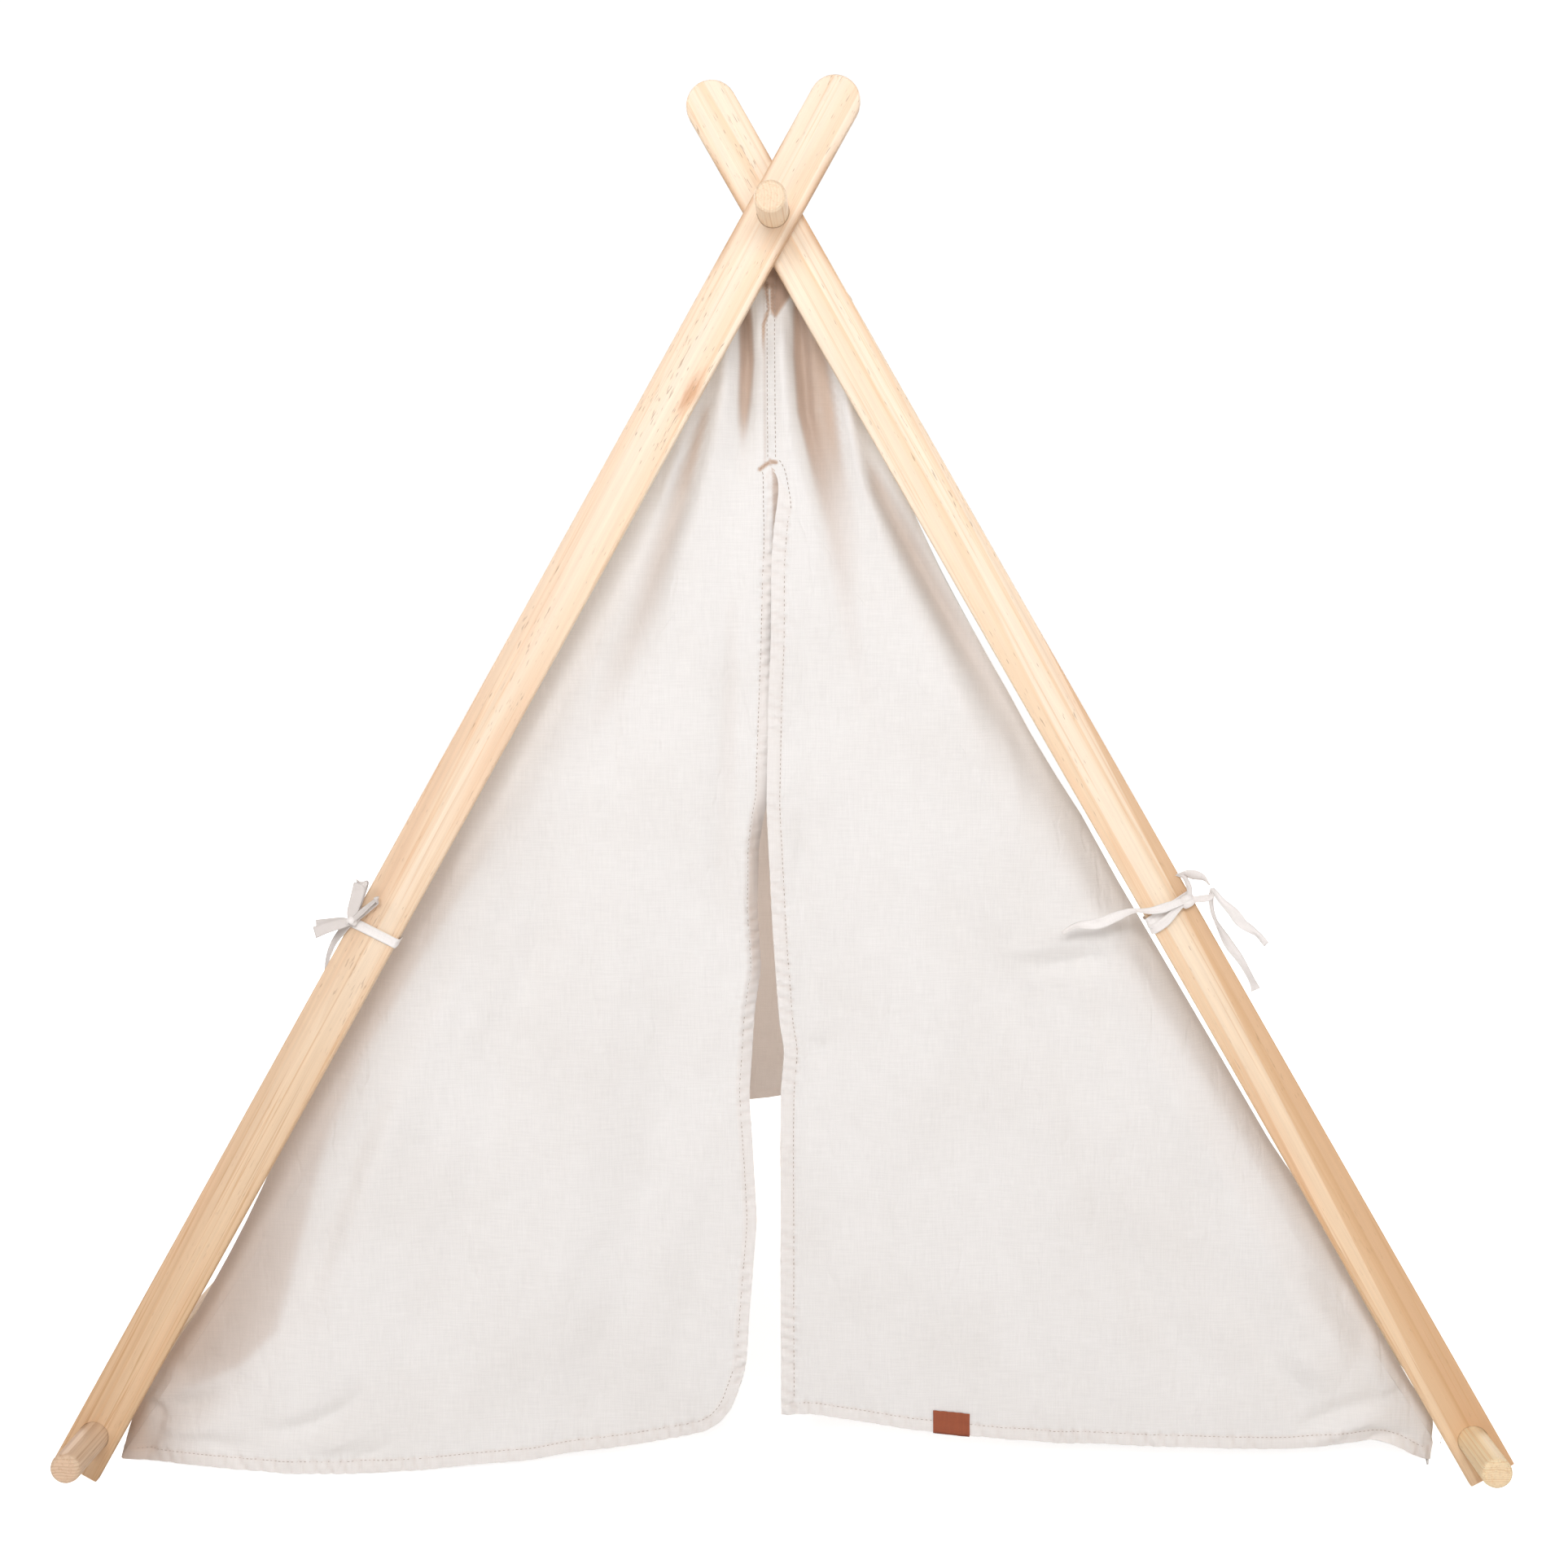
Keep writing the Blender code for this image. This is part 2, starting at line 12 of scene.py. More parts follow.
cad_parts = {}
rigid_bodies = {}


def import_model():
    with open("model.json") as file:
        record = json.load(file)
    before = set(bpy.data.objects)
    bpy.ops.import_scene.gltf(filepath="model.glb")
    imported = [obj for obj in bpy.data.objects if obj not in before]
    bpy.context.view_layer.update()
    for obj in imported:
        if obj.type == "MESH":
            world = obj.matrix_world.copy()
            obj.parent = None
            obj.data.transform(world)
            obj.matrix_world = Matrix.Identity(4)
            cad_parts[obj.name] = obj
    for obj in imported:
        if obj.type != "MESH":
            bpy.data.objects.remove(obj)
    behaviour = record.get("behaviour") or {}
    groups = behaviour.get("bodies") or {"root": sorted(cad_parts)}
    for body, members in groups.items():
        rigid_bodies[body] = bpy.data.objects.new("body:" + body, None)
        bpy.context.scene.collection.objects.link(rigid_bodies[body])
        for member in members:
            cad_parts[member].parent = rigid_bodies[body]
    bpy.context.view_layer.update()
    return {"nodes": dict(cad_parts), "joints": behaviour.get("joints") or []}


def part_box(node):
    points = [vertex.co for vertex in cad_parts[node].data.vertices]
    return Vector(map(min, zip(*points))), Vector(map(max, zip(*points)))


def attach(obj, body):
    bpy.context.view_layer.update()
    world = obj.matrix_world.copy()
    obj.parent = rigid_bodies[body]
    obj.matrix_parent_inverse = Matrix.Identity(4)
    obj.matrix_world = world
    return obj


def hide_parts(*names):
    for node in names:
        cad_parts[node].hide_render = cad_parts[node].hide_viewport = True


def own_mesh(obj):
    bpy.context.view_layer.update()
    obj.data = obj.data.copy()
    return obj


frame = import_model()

for loaded in bpy.context.selected_objects:
    loaded.select_set(False)

# Sizes of the frame, in metres, as in the part
LEG_ANGLE = math.radians(29.9)
SLAT_WIDTH = 0.040
SLAT_THICKNESS = 0.012
RIDGE_HEIGHT = 1.035509
OUTER_SLAT_DEPTH = sum(corner.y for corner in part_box("leg_rear_left")) / 2
INNER_SLAT_DEPTH = sum(corner.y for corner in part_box("leg_rear_right")) / 2
SLAT_INNER_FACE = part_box("leg_rear_right")[0].y
POLE_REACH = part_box("ridge_pole")[1].y

# Sizes of the cover
CLOTH = 0.0009
GABLE_DEPTH = SLAT_INNER_FACE - 0.010
GABLE_TOP = 1.0200
SEAM_X = -0.004
SLIT_TOP = 0.840
COVER_OFFSET_LOW = -0.022
COVER_OFFSET_TOP = 0.0157
COVER_FALL = 0.180
SLEEVE_RADIUS = 0.0138
HEM_WIDTH = 0.011
HEM_ROW = HEM_WIDTH * 0.9
HEM_GATHER = 0.0125
SLIT_GATHER = 0.0105
CHANNEL_HEIGHT = 0.996
CHANNEL_DROP = 0.036
LAP_HALF = 0.0046
STITCH_LENGTH = 0.0026
STITCH_PITCH = 0.0038
STITCH_LIFT = 0.0008
THREAD = 0.00055
LEFT, RIGHT = -1, 1
FRONT, REAR = -1, 1
WORDS = {LEFT: "left", RIGHT: "right"}
SIN, COS = math.sin(LEG_ANGLE), math.cos(LEG_ANGLE)
SLAT_DEPTH = {LEFT: OUTER_SLAT_DEPTH, RIGHT: INNER_SLAT_DEPTH}
# How far down the leg each tie goes round it
TIE_DROP = {LEFT: 0.657, RIGHT: 0.637}
TAPE_WIDTH = 0.010
TAPE_THICKNESS = 0.0008

# Shapes are read off tables of (place, value) pairs, both in millimetres
MM = 1000


def along(table, value, blur=0.0):
    """A table read at a value in metres; blur eases its corners over that reach."""
    places, values = zip(*table)
    value = np.asarray(value) * MM
    reaches = (-1, -0.5, 0, 0.5, 1) if blur else (0,)
    read = [np.interp(value + reach * blur * MM, places, values) for reach in reaches]
    return sum(read) / len(reaches) / MM


def share_along(table, value):
    """A table whose values are shares, read at a value in metres."""
    return along(table, value) * MM


# How far the gable's outer edge is drawn back into the tent, against the drop down the leg
EDGE_BACK = {
    LEFT: (
        (0, 1), (80, 3), (160, 8), (300, 14), (500, 13), (700, 12), (900, 13), (1050, 11), (1130, 7),
        (1180, 3),
    ),
    RIGHT: (
        (0, 1), (80, 3), (160, 8), (300, 16), (500, 20), (700, 19), (900, 13), (1060, 10), (1130, 7),
        (1180, 3),
    ),
}
# How far the cover's edge lies inside the part's own, against the drop
EDGE_IN = {
    LEFT: (
        (0, 0), (200, -2), (400, -5), (720, -7), (800, -8.5), (863, -8.5), (902, -5), (941, -2.5),
        (975, -1.5), (1000, -1.5), (1034, -1.5), (1055, -4), (1077, -5), (1120, -5.5), (1143, -4.5),
        (1163, 0.5), (1176, 4),
    ),
    RIGHT: (
        (0, 0), (250, 4), (308, 6.3), (423, 3.8), (461, 4.2), (501, 3), (541, 0.8), (602, 1.5), (777, 0),
        (856, -0.4), (889, -2.7), (937, -3.5), (1016, -1.7), (1096, -2.1), (1125, -4.5), (1134, -1.5),
        (1145, 6.5), (1157, 16), (1163, 20),
    ),
}
# The free edges of the doorway, x against height
SLIT_EDGE = {
    LEFT: (
        (97, -28), (146, -24.5), (216, -18.5), (278, -21.5), (327, -24.5), (395, -20), (430, -14.5),
        (480, -17.5), (531, -16), (558, -11), (575, -6.5), (648, -3.5), (698, -1.5), (764, 0.5), (793, 2.5),
        (810, 5.2), (826, 6), (833, 4), (840, -4.3),
    ),
    RIGHT: (
        (48, 1), (146, 1), (216, 1.3), (278, 1.2), (327, 1.8), (361, 5), (385, 1), (463, -4.3), (518, -6.7),
        (565, -8.8), (648, -7), (698, -4.5), (764, -3.8), (793, -1.4), (810, 1.4), (826, 2.8), (835, 1),
        (840, -3.7),
    ),
}
# The bottom hems, height against x
HEM = {
    LEFT: (
        (-575, 6), (-560, 6), (-530, 5), (-486, 3.5), (-450, 2.5), (-382, 1.5), (-340, 3), (-300, 5),
        (-255, 9), (-210, 11.5), (-176, 17.5), (-127, 23), (-95, 29), (-67, 34), (-57, 38), (-47, 46),
        (-38, 59), (-32, 76), (-29, 97),
    ),
    RIGHT: (
        (-4, 50), (31, 49.5), (70, 44.5), (112, 39), (164, 33.5), (231, 29.5), (298, 28), (366, 26),
        (410, 25), (433, 25.5), (470, 29), (499, 31), (515, 26), (530, 18), (541, 14.5), (570, 14),
    ),
}
# How much painted shade the gable takes along its outer edge, where the legs shade it, from 0 to 1, against
# the drop
EDGE_SHADE = {
    LEFT: ((250, 0), (400, 0.3), (700, 0.45), (880, 0.55), (1020, 0.8), (1180, 1)),
    RIGHT: ((300, 0), (450, 0.5), (760, 0.5), (1000, 0.3), (1180, 0.5)),
}
# How far the hems stand forward of the gable, against x
BILLOW = {
    LEFT: (
        (-557, 0), (-520, 3), (-486, 8), (-450, 14), (-405, 18), (-382, 18), (-345, 17), (-300, 15),
        (-250, 13), (-210, 9), (-127, 5), (-67, 2), (0, 0),
    ),
    RIGHT: ((0, 0), (60, 2), (160, 6), (260, 8), (360, 8), (430, 6), (480, 3), (533, 0)),
}
# Folds that hang in the front gable: points of (x, height, how far forward, half width), in millimetres
FRONT_FOLDS = (
    # beside the middle seam, high up
    (
        (-22, 1012, -2, 4), (-24, 985, -10, 5.5), (-24, 960, -15, 6.5), (-23, 925, -16, 7),
        (-25, 893, -12, 7.5), (-27, 860, -6, 8), (-28, 825, -2, 10), (-28, 770, 0, 13),
    ),
    (
        (-36, 985, 0, 5), (-39, 945, 8, 6.5), (-43, 905, 9, 8), (-50, 860, 7, 11), (-62, 800, 5, 15),
        (-82, 725, 3, 22), (-110, 640, 0, 28),
    ),
    (
        (-44, 920, 0, 6), (-57, 882, -8, 7), (-76, 825, -11, 9), (-94, 771, -9, 12), (-111, 718, -7, 15),
        (-138, 655, -4, 18), (-175, 580, 0, 22),
    ),
    ((-73, 872, 0, 2.6), (-79, 852, 5, 3.4), (-87, 828, 4, 4.4), (-101, 790, 0, 6)),
    ((4, 985, 0, 5), (5, 940, 5, 6), (8, 885, 6, 8), (14, 825, 5, 11), (22, 750, 3, 16), (30, 670, 0, 22)),
    (
        (14, 995, 0, 4), (19, 968, -13, 6), (22, 930, -19, 8), (25, 885, -18, 8), (35, 838, -14, 8),
        (45, 792, -8, 8.5), (55, 738, -5, 11), (66, 680, -3.4, 14), (82, 612, -2.2, 18), (100, 491, 0, 24),
    ),
    (
        (28, 985, 0, 6), (36, 940, -10, 8), (42, 890, -11, 9), (50, 835, -9, 10), (60, 780, -5, 12),
        (72, 720, 0, 14),
    ),
    (
        (50, 925, 0, 4), (57, 895, 8, 5), (62, 866, 8, 6), (73, 830, 8, 9), (92, 780, 7, 12),
        (118, 720, 6, 16), (150, 650, 4, 20), (188, 585, 2, 24), (225, 510, 0, 28),
    ),
    (
        (66, 868, 0, 5), (83, 822, -11, 8), (110, 774, -13, 11), (140, 724, -11, 14), (168, 674, -7, 16),
        (200, 612, -3, 20), (230, 556, 0, 24),
    ),
    # beside the doorway
    (
        (-34, 800, 0, 9), (-36, 720, -3.5, 10), (-40, 620, -4.9, 11), (-44, 500, -4.2, 12),
        (-46, 400, -2.8, 14), (-48, 300, 0, 16),
    ),
    ((28, 640, 0, 10), (24, 520, -2.1, 12), (26, 420, -3.1, 12), (34, 330, -1.7, 16), (40, 240, 0, 20)),
    # long soft folds that fan down the left flap
    (
        (-70, 560, 0, 16), (-84, 420, -3.5, 18), (-104, 300, -5.4, 20), (-130, 160, -5.8, 22),
        (-152, 60, -4.8, 24),
    ),
    ((-110, 560, 0, 16), (-132, 430, 3.8, 20), (-166, 280, 5.1, 24), (-200, 120, 3.8, 28)),
    (
        (-160, 590, 0, 16), (-196, 470, -3.2, 18), (-232, 350, -4.8, 20), (-262, 220, -4.8, 22),
        (-286, 90, -3.2, 26),
    ),
    (
        (-205, 560, 0, 18), (-262, 471, 5.8, 20), (-312, 350, 8, 22), (-352, 220, 7.2, 26),
        (-372, 110, 4, 30),
    ),
    (
        (-262, 452, 0, 10), (-300, 378, -3.8, 10), (-344, 290, -4.8, 12), (-380, 200, -4.2, 14),
        (-420, 100, 0, 18),
    ),
    ((-325, 330, 0, 8), (-356, 262, -2.6, 8), (-384, 180, -3.2, 9), (-398, 130, 0, 10)),
    ((-50, 250, 0, 10), (-66, 180, -2.9, 11), (-84, 110, -3.5, 12), (-96, 60, -1.9, 14)),
    # where the left hem bunches on the floor
    ((-346, 76, 0, 6), (-368, 56, -5, 7), (-392, 42, -7, 8), (-420, 36, -4, 8), (-446, 40, 0, 8)),
    ((-336, 48, 0, 5), (-354, 34, 4, 6), (-376, 26, 5, 6), (-400, 22, 0, 7)),
    ((-322, 32, 0, 5), (-342, 19, -4, 5), (-366, 12, 0, 6)),
    # wrinkles at the left corner
    ((-546, 62, 0, 3), (-536, 63, 7, 3.6), (-521, 66, 7, 5), (-498, 72, 3, 8), (-470, 84, 0, 12)),
    ((-528, 90, 0, 8), (-500, 82, -6, 12), (-470, 96, -6, 18), (-430, 140, -4, 24), (-400, 190, 0, 26)),
    (
        (-538, 57, 0, 3), (-529, 51, -6, 5), (-527, 42, -6, 6), (-531, 28, -4, 6), (-541, 13, -2.4, 6),
        (-544, 6, 0, 6),
    ),
    ((-520, 54, 0, 4), (-500, 56, -5, 7), (-470, 66, -3, 10), (-440, 84, 0, 14)),
    ((-538, 42, 0, 4), (-516, 34, 4, 6), (-488, 36, 4, 8), (-452, 48, 0, 10)),
    ((-532, 48, 0, 2.4), (-532, 34, -3, 3), (-537, 16, -1.6, 3.4), (-540, 8, 0, 4)),
    ((-500, 30, 0, 4), (-470, 22, -3, 6), (-436, 26, 0, 8)),
    # long soft folds that fan down the right flap
    ((62, 560, 0, 14), (78, 440, 2.9, 18), (96, 320, 3.8, 20), (112, 190, 3.2, 24), (122, 70, 1.6, 28)),
    (
        (120, 590, 0, 14), (148, 478, -3.8, 16), (176, 430, -3.8, 18), (204, 380, -2.2, 20),
        (240, 300, 0, 24),
    ),
    (
        (128, 400, 0, 12), (148, 342, -3.5, 14), (170, 250, -4.5, 16), (190, 160, -4.2, 18),
        (209, 81, -2.6, 20),
    ),
    ((190, 400, 0, 16), (222, 300, 4.5, 20), (262, 200, 4.8, 24), (292, 100, 3.2, 28)),
    ((226, 330, 0, 12), (259, 240, -3.8, 14), (300, 165, -4.8, 16), (345, 91, -3.2, 18)),
    ((238, 520, 0, 12), (286, 420, 4.8, 16), (340, 320, 6.4, 20), (400, 210, 6.4, 22), (452, 120, 3.2, 26)),
    ((366, 180, 0, 12), (400, 120, -3.8, 12), (430, 70, -3.2, 12), (450, 40, 0, 14)),
    # the crease that the right tie draws, and small wrinkles beside the doorway
    ((182, 447, 0, 5), (205, 446, 3.5, 6), (240, 453, 4.3, 7), (292, 464, 2.7, 8), (322, 470, 0, 8)),
    ((192, 434, 0, 5), (222, 432, -3.5, 6), (262, 438, -4.1, 8), (306, 448, 0, 9)),
    ((186, 470, 0, 3), (178, 486, -2.2, 3.4), (170, 504, 0, 4)),
    ((40, 398, 0, 3), (62, 393, -1.5, 3.6), (86, 398, 1.5, 4), (104, 392, -1.5, 4), (124, 396, 0, 4)),
    ((52, 420, 0, 2.6), (50, 404, -1.3, 3), (56, 390, 0, 3)),
    ((92, 414, 0, 2.6), (94, 400, -2.2, 3), (88, 388, 0, 3)),
    ((18, 505, 0, 3), (30, 478, -2.2, 4), (34, 440, 0, 5)),
    ((14, 560, 0, 3), (22, 530, -2.4, 4), (28, 508, 0, 4)),
    ((14, 372, 0, 4), (36, 362, -3, 5), (52, 378, 0, 6)),
    ((16, 338, 0, 4), (36, 322, 2.4, 5), (46, 300, 0, 6)),
    # wrinkles at the right corner
    ((424, 38, 0, 5), (444, 48, -3.5, 6), (470, 58, -4.5, 8), (500, 66, -3, 8), (520, 70, 0, 8)),
    ((440, 28, 0, 4), (462, 38, 4, 6), (488, 48, 5, 6), (510, 52, 0, 7)),
    ((478, 26, 0, 4), (498, 34, -4, 5), (520, 36, -3, 6), (534, 32, 0, 6)),
    ((486, 120, 0, 7), (498, 94, 6, 8), (512, 74, 0, 9)),
    ((430, 190, 0, 12), (462, 150, -7, 13), (488, 112, -6, 11), (504, 92, 0, 10)),
    ((500, 70, 0, 3), (508, 78, 4, 4), (518, 84, 4, 4), (528, 84, 0, 5)),
    ((410, 120, 0, 10), (440, 96, 3.5, 11), (470, 84, 0, 12)),
    # small creases by the legs, high up
    ((-84, 858, 0, 2), (-80, 846, -1.6, 2.4), (-77, 832, 0, 2.6)),
    ((60, 868, 0, 2), (70, 872, -1.8, 2.6), (80, 866, 0, 3)),
)
# Folds of the rear gable, for its left half; the right half has them stretched and lowered
REAR_FOLDS = (
    ((20, 960, 0, 6), (30, 880, -5, 9), (44, 780, -4, 12), (66, 640, -2, 18), (90, 500, 0, 24)),
    ((54, 860, 0, 7), (74, 780, -5, 10), (104, 690, -4, 13), (150, 580, -2, 18), (190, 490, 0, 22)),
    ((60, 600, 0, 16), (86, 440, -3, 20), (112, 280, -5, 24), (136, 130, -5, 28)),
    ((110, 590, 0, 16), (150, 430, 3, 22), (192, 280, 4, 26), (226, 140, 4, 30)),
    ((180, 520, 0, 16), (232, 400, -3, 20), (282, 280, -4, 24), (324, 150, -4, 28)),
    ((250, 440, 0, 16), (310, 320, 3, 20), (366, 210, 4, 24), (410, 120, 3, 26)),
    ((340, 300, 0, 10), (392, 210, -3, 14), (440, 120, -3, 18), (470, 60, 0, 20)),
    ((20, 420, 0, 14), (26, 300, 2, 18), (34, 180, 3, 22), (40, 110, 2, 24)),
)
REAR_STRETCH = {LEFT: (1, 0), RIGHT: (1.07, 12)}
REAR_HEM = ((0, 46), (20, 43), (50, 38), (140, 29), (240, 20), (340, 14), (440, 10), (560, 9))
# Where the shadow of the left fold ends, x against height
SHADOW_EDGE = (
    (60, -510), (90, -450), (120, -418), (200, -396), (290, -370), (360, -338), (450, -282), (600, -190),
)
# Lines painted with shadow: where the lap above the doorway stands open at the top, and the tuck over the
# slit, in metres
LAP_EDGE = (
    (-0.0063, 0.985), (-0.0063, 0.977), (-0.0044, 0.965), (-0.0060, 0.961), (-0.0091, 0.9526),
    (-0.0094, 0.938), (-0.0086, 0.918),
)
SLIT_TUCK = ((-0.0128, 0.8379), (-0.0075, 0.8418), (-0.0035, 0.8440), (0.0004, 0.8434))
# A crease at the left corner, painted with shade, and the stitched arch right of the slit's top, in metres
CORNER_CREASE = ((-0.549, 0.050), (-0.544, 0.022))
SLIT_ARCH = (
    (0.0015, 0.8460), (0.0040, 0.8445), (0.0074, 0.8380), (0.0095, 0.8290), (0.0117, 0.8153),
    (0.0125, 0.8049),
)
# Soft folds that run down the sides: place along the ridge, half width, how far out, drop at the start
SIDE_HANGS = (
    (-0.33, 0.030, 2.6, 0.2), (-0.21, 0.036, -2.2, 0.5), (-0.08, 0.032, 2.4, 0.35),
    (0.05, 0.040, -2.0, 0.55), (0.17, 0.030, 2.2, 0.25), (0.30, 0.036, -2.4, 0.45),
)
# Creases that the ties draw into the sides: slope away from the tie, and how far out
TIE_CREASES = ((0.35, 2.0), (-0.10, -1.6), (-0.55, 1.8), (0.9, -1.2))
CREASE_DROP = 0.645
# The most painted shade that the cloth takes, in its darkest hollows
DEEPEST = 4
# How far the corners of the hems and of the doorway's edges are eased
EASE = 0.006


def smooth_step(value):
    """From 0 to 1 as the value does, level at both ends."""
    value = np.clip(value, 0.0, 1.0)
    return value * value * (3 - 2 * value)


def leg_point(side, drop, offset, depth=0.0):
    """The point that lies drop down a leg from the ridge axis and offset outward of its centreline."""
    return Vector((side * (drop * SIN + offset * COS), depth, RIDGE_HEIGHT - drop * COS + offset * SIN))


def to_leg(side, x, z):
    """How far down a leg a place of the gable lies, and how far outward of the leg's centreline."""
    below = RIDGE_HEIGHT - z
    return side * x * SIN + below * COS, side * x * COS - below * SIN


def cover_offset(side, drop, edge=1.0):
    """How far outward of the leg's centreline the cover lies; edge is 1 at the gable and 0 amid the side."""
    fall = np.exp(-((np.maximum(drop, 0) / COVER_FALL) ** 1.5))
    return COVER_OFFSET_LOW + (COVER_OFFSET_TOP - COVER_OFFSET_LOW) * fall - along(EDGE_IN[side], drop) * edge


def edge_point(side, drop):
    """The gable's outer edge, in the gable's plane."""
    point = leg_point(side, drop, float(cover_offset(side, drop)))
    return point.x, point.z


LOWEST_DROP = 1.19


def drop_at(side, height):
    """The drop at which the cover's edge reaches a height."""
    low, high = 0.0, LOWEST_DROP
    for _ in range(40):
        middle = (low + high) / 2
        if edge_point(side, middle)[1] > height:
            low = middle
        else:
            high = middle
    return low


def line_distance(x, z, points):
    """The distance to a line of points in the gable."""
    nearest = np.full(np.shape(x), 1e9)
    for (ax, az), (bx, bz) in zip(points, points[1:]):
        dx, dz = bx - ax, bz - az
        t = np.clip(((x - ax) * dx + (z - az) * dz) / (dx * dx + dz * dz), 0, 1)
        nearest = np.minimum(nearest, np.hypot(x - ax - t * dx, z - az - t * dz))
    return nearest


def fold(x, z, points):
    """One fold along a line of points: how far forward the cloth stands, in a bell across the line."""
    nearest = np.full(np.shape(x), 1e9)
    forward = np.zeros(np.shape(x))
    for (ax, az, a_forward, a_width), (bx, bz, b_forward, b_width) in zip(points, points[1:]):
        dx, dz = (bx - ax) / MM, (bz - az) / MM
        t = np.clip(((x - ax / MM) * dx + (z - az / MM) * dz) / (dx * dx + dz * dz), 0, 1)
        away = np.hypot(x - ax / MM - t * dx, z - az / MM - t * dz)
        closer = away < nearest
        width = (a_width + (b_width - a_width) * t) / MM
        here = (a_forward + (b_forward - a_forward) * t) / MM * np.exp(-((away / width) ** 2))
        forward = np.where(closer, here, forward)
        nearest = np.where(closer, away, nearest)
    return forward


def ripple(x, z, size, seed):
    """Slow noise from -1 to 1 over the cloth."""
    return np.array([noise.noise(Vector((a / size + seed, b / size, seed * 1.7))) for a, b in zip(x, z)])


# Heights above the ridge: where the creases fan from, and how far up the seam's line is carried
FAN_CENTRE, ABOVE_RIDGE = 1.05, 1.04


def crinkles(x, z, seed):
    """Fine creases that fan down from the top of the gable, from -1 to 1."""
    below = FAN_CENTRE - z
    turn, reach = np.arctan2(x - SEAM_X, below), np.hypot(x - SEAM_X, below)
    ridged = 1 - 2 * np.abs(ripple(turn * 0.85 + 0.04 * np.sin(reach * 9 + seed), reach * 0.30, 0.042, seed))
    return ridged * smooth_step((reach - 0.18) / 0.2)


def puckers(run, away, width, pitch, seed):
    """The small gathers that a row of stitches draws, along a hem of that width."""
    wander = 1.7 * np.sin(run / 0.037 + seed) + 1.1 * np.sin(run / 0.0163 + 2 * seed)
    strength = 0.6 + 0.3 * np.sin(run / 0.052 + seed * 3) + 0.3 * np.sin(run / 0.0117 + seed * 5)
    in_hem = np.exp(-(((away - width / 2) / (width * 0.62)) ** 4))
    beyond = np.exp(-np.maximum(away - width, 0) / 0.006) * (away > width) * 0.55
    wave = np.sin(2 * math.pi * (run + 0.35 * away) / pitch + wander)
    wave = wave + 0.5 * np.sin(2 * math.pi * (run - 0.2 * away) / (0.43 * pitch) + 2 * wander)
    groove = np.exp(-(((away - width) / 0.0016) ** 2))
    return 0.0008 * strength * wave * (in_hem + beyond) - 0.0007 * groove


def hem_width(side, z):
    """The doorway hems' width; the left one is narrower low down, where it turns back."""
    return HEM_WIDTH - (0.0030 * smooth_step((0.60 - z) / 0.10) if side == LEFT else 0.0)


def slit_distance(side, x, z):
    """How far a place of the gable lies from the doorway's free edge."""
    return np.abs(x - along(SLIT_EDGE[side], z, EASE))


def hem_gathers(side, x, z):
    """The gathers beside the doorway, and those of the bottom hem."""
    beside = puckers(z, slit_distance(side, x, z), hem_width(side, z), SLIT_GATHER, 1.0 + side)
    below = puckers(x, z - along(HEM[side], x, EASE), HEM_ROW, HEM_GATHER, 4.0 + side)
    return beside, below


# The lines that the door flaps swing about, from the slit's top to the height of the lower corner
CORNER_HEIGHT = {LEFT: 0.009, RIGHT: 0.0175}
HINGE = {}
for joint in frame["joints"]:
    if joint["type"] == "hinge" and joint["parent"] in ("leaf_left", "leaf_right"):
        door_side = LEFT if joint["parent"] == "leaf_left" else RIGHT
        axis = joint["axis"]
        slope = axis[0] / axis[2]
        low = CORNER_HEIGHT[door_side]
        HINGE[door_side] = (
            (joint["pos_m"][0], joint["pos_m"][2]),
            (joint["pos_m"][0] + (low - joint["pos_m"][2]) * slope, low),
        )


def in_flap(side, x, z):
    """Whether a place of the gable is on the door flap, inward of its slanting fold line."""
    slit_top, corner = HINGE[side]
    across = (corner[0] - slit_top[0]) * (z - slit_top[1]) - (corner[1] - slit_top[1]) * (x - slit_top[0])
    return (across * -side > 0) & (z < SLIT_TOP)


def turned_back(share):
    """The way that the gable rounds back to meet the side: gently at first, then as round a corner."""
    return 0.55 * share**1.7 + 0.45 * (1 - np.sqrt(1 - 0.98 * share * share)) / (1 - math.sqrt(0.02))


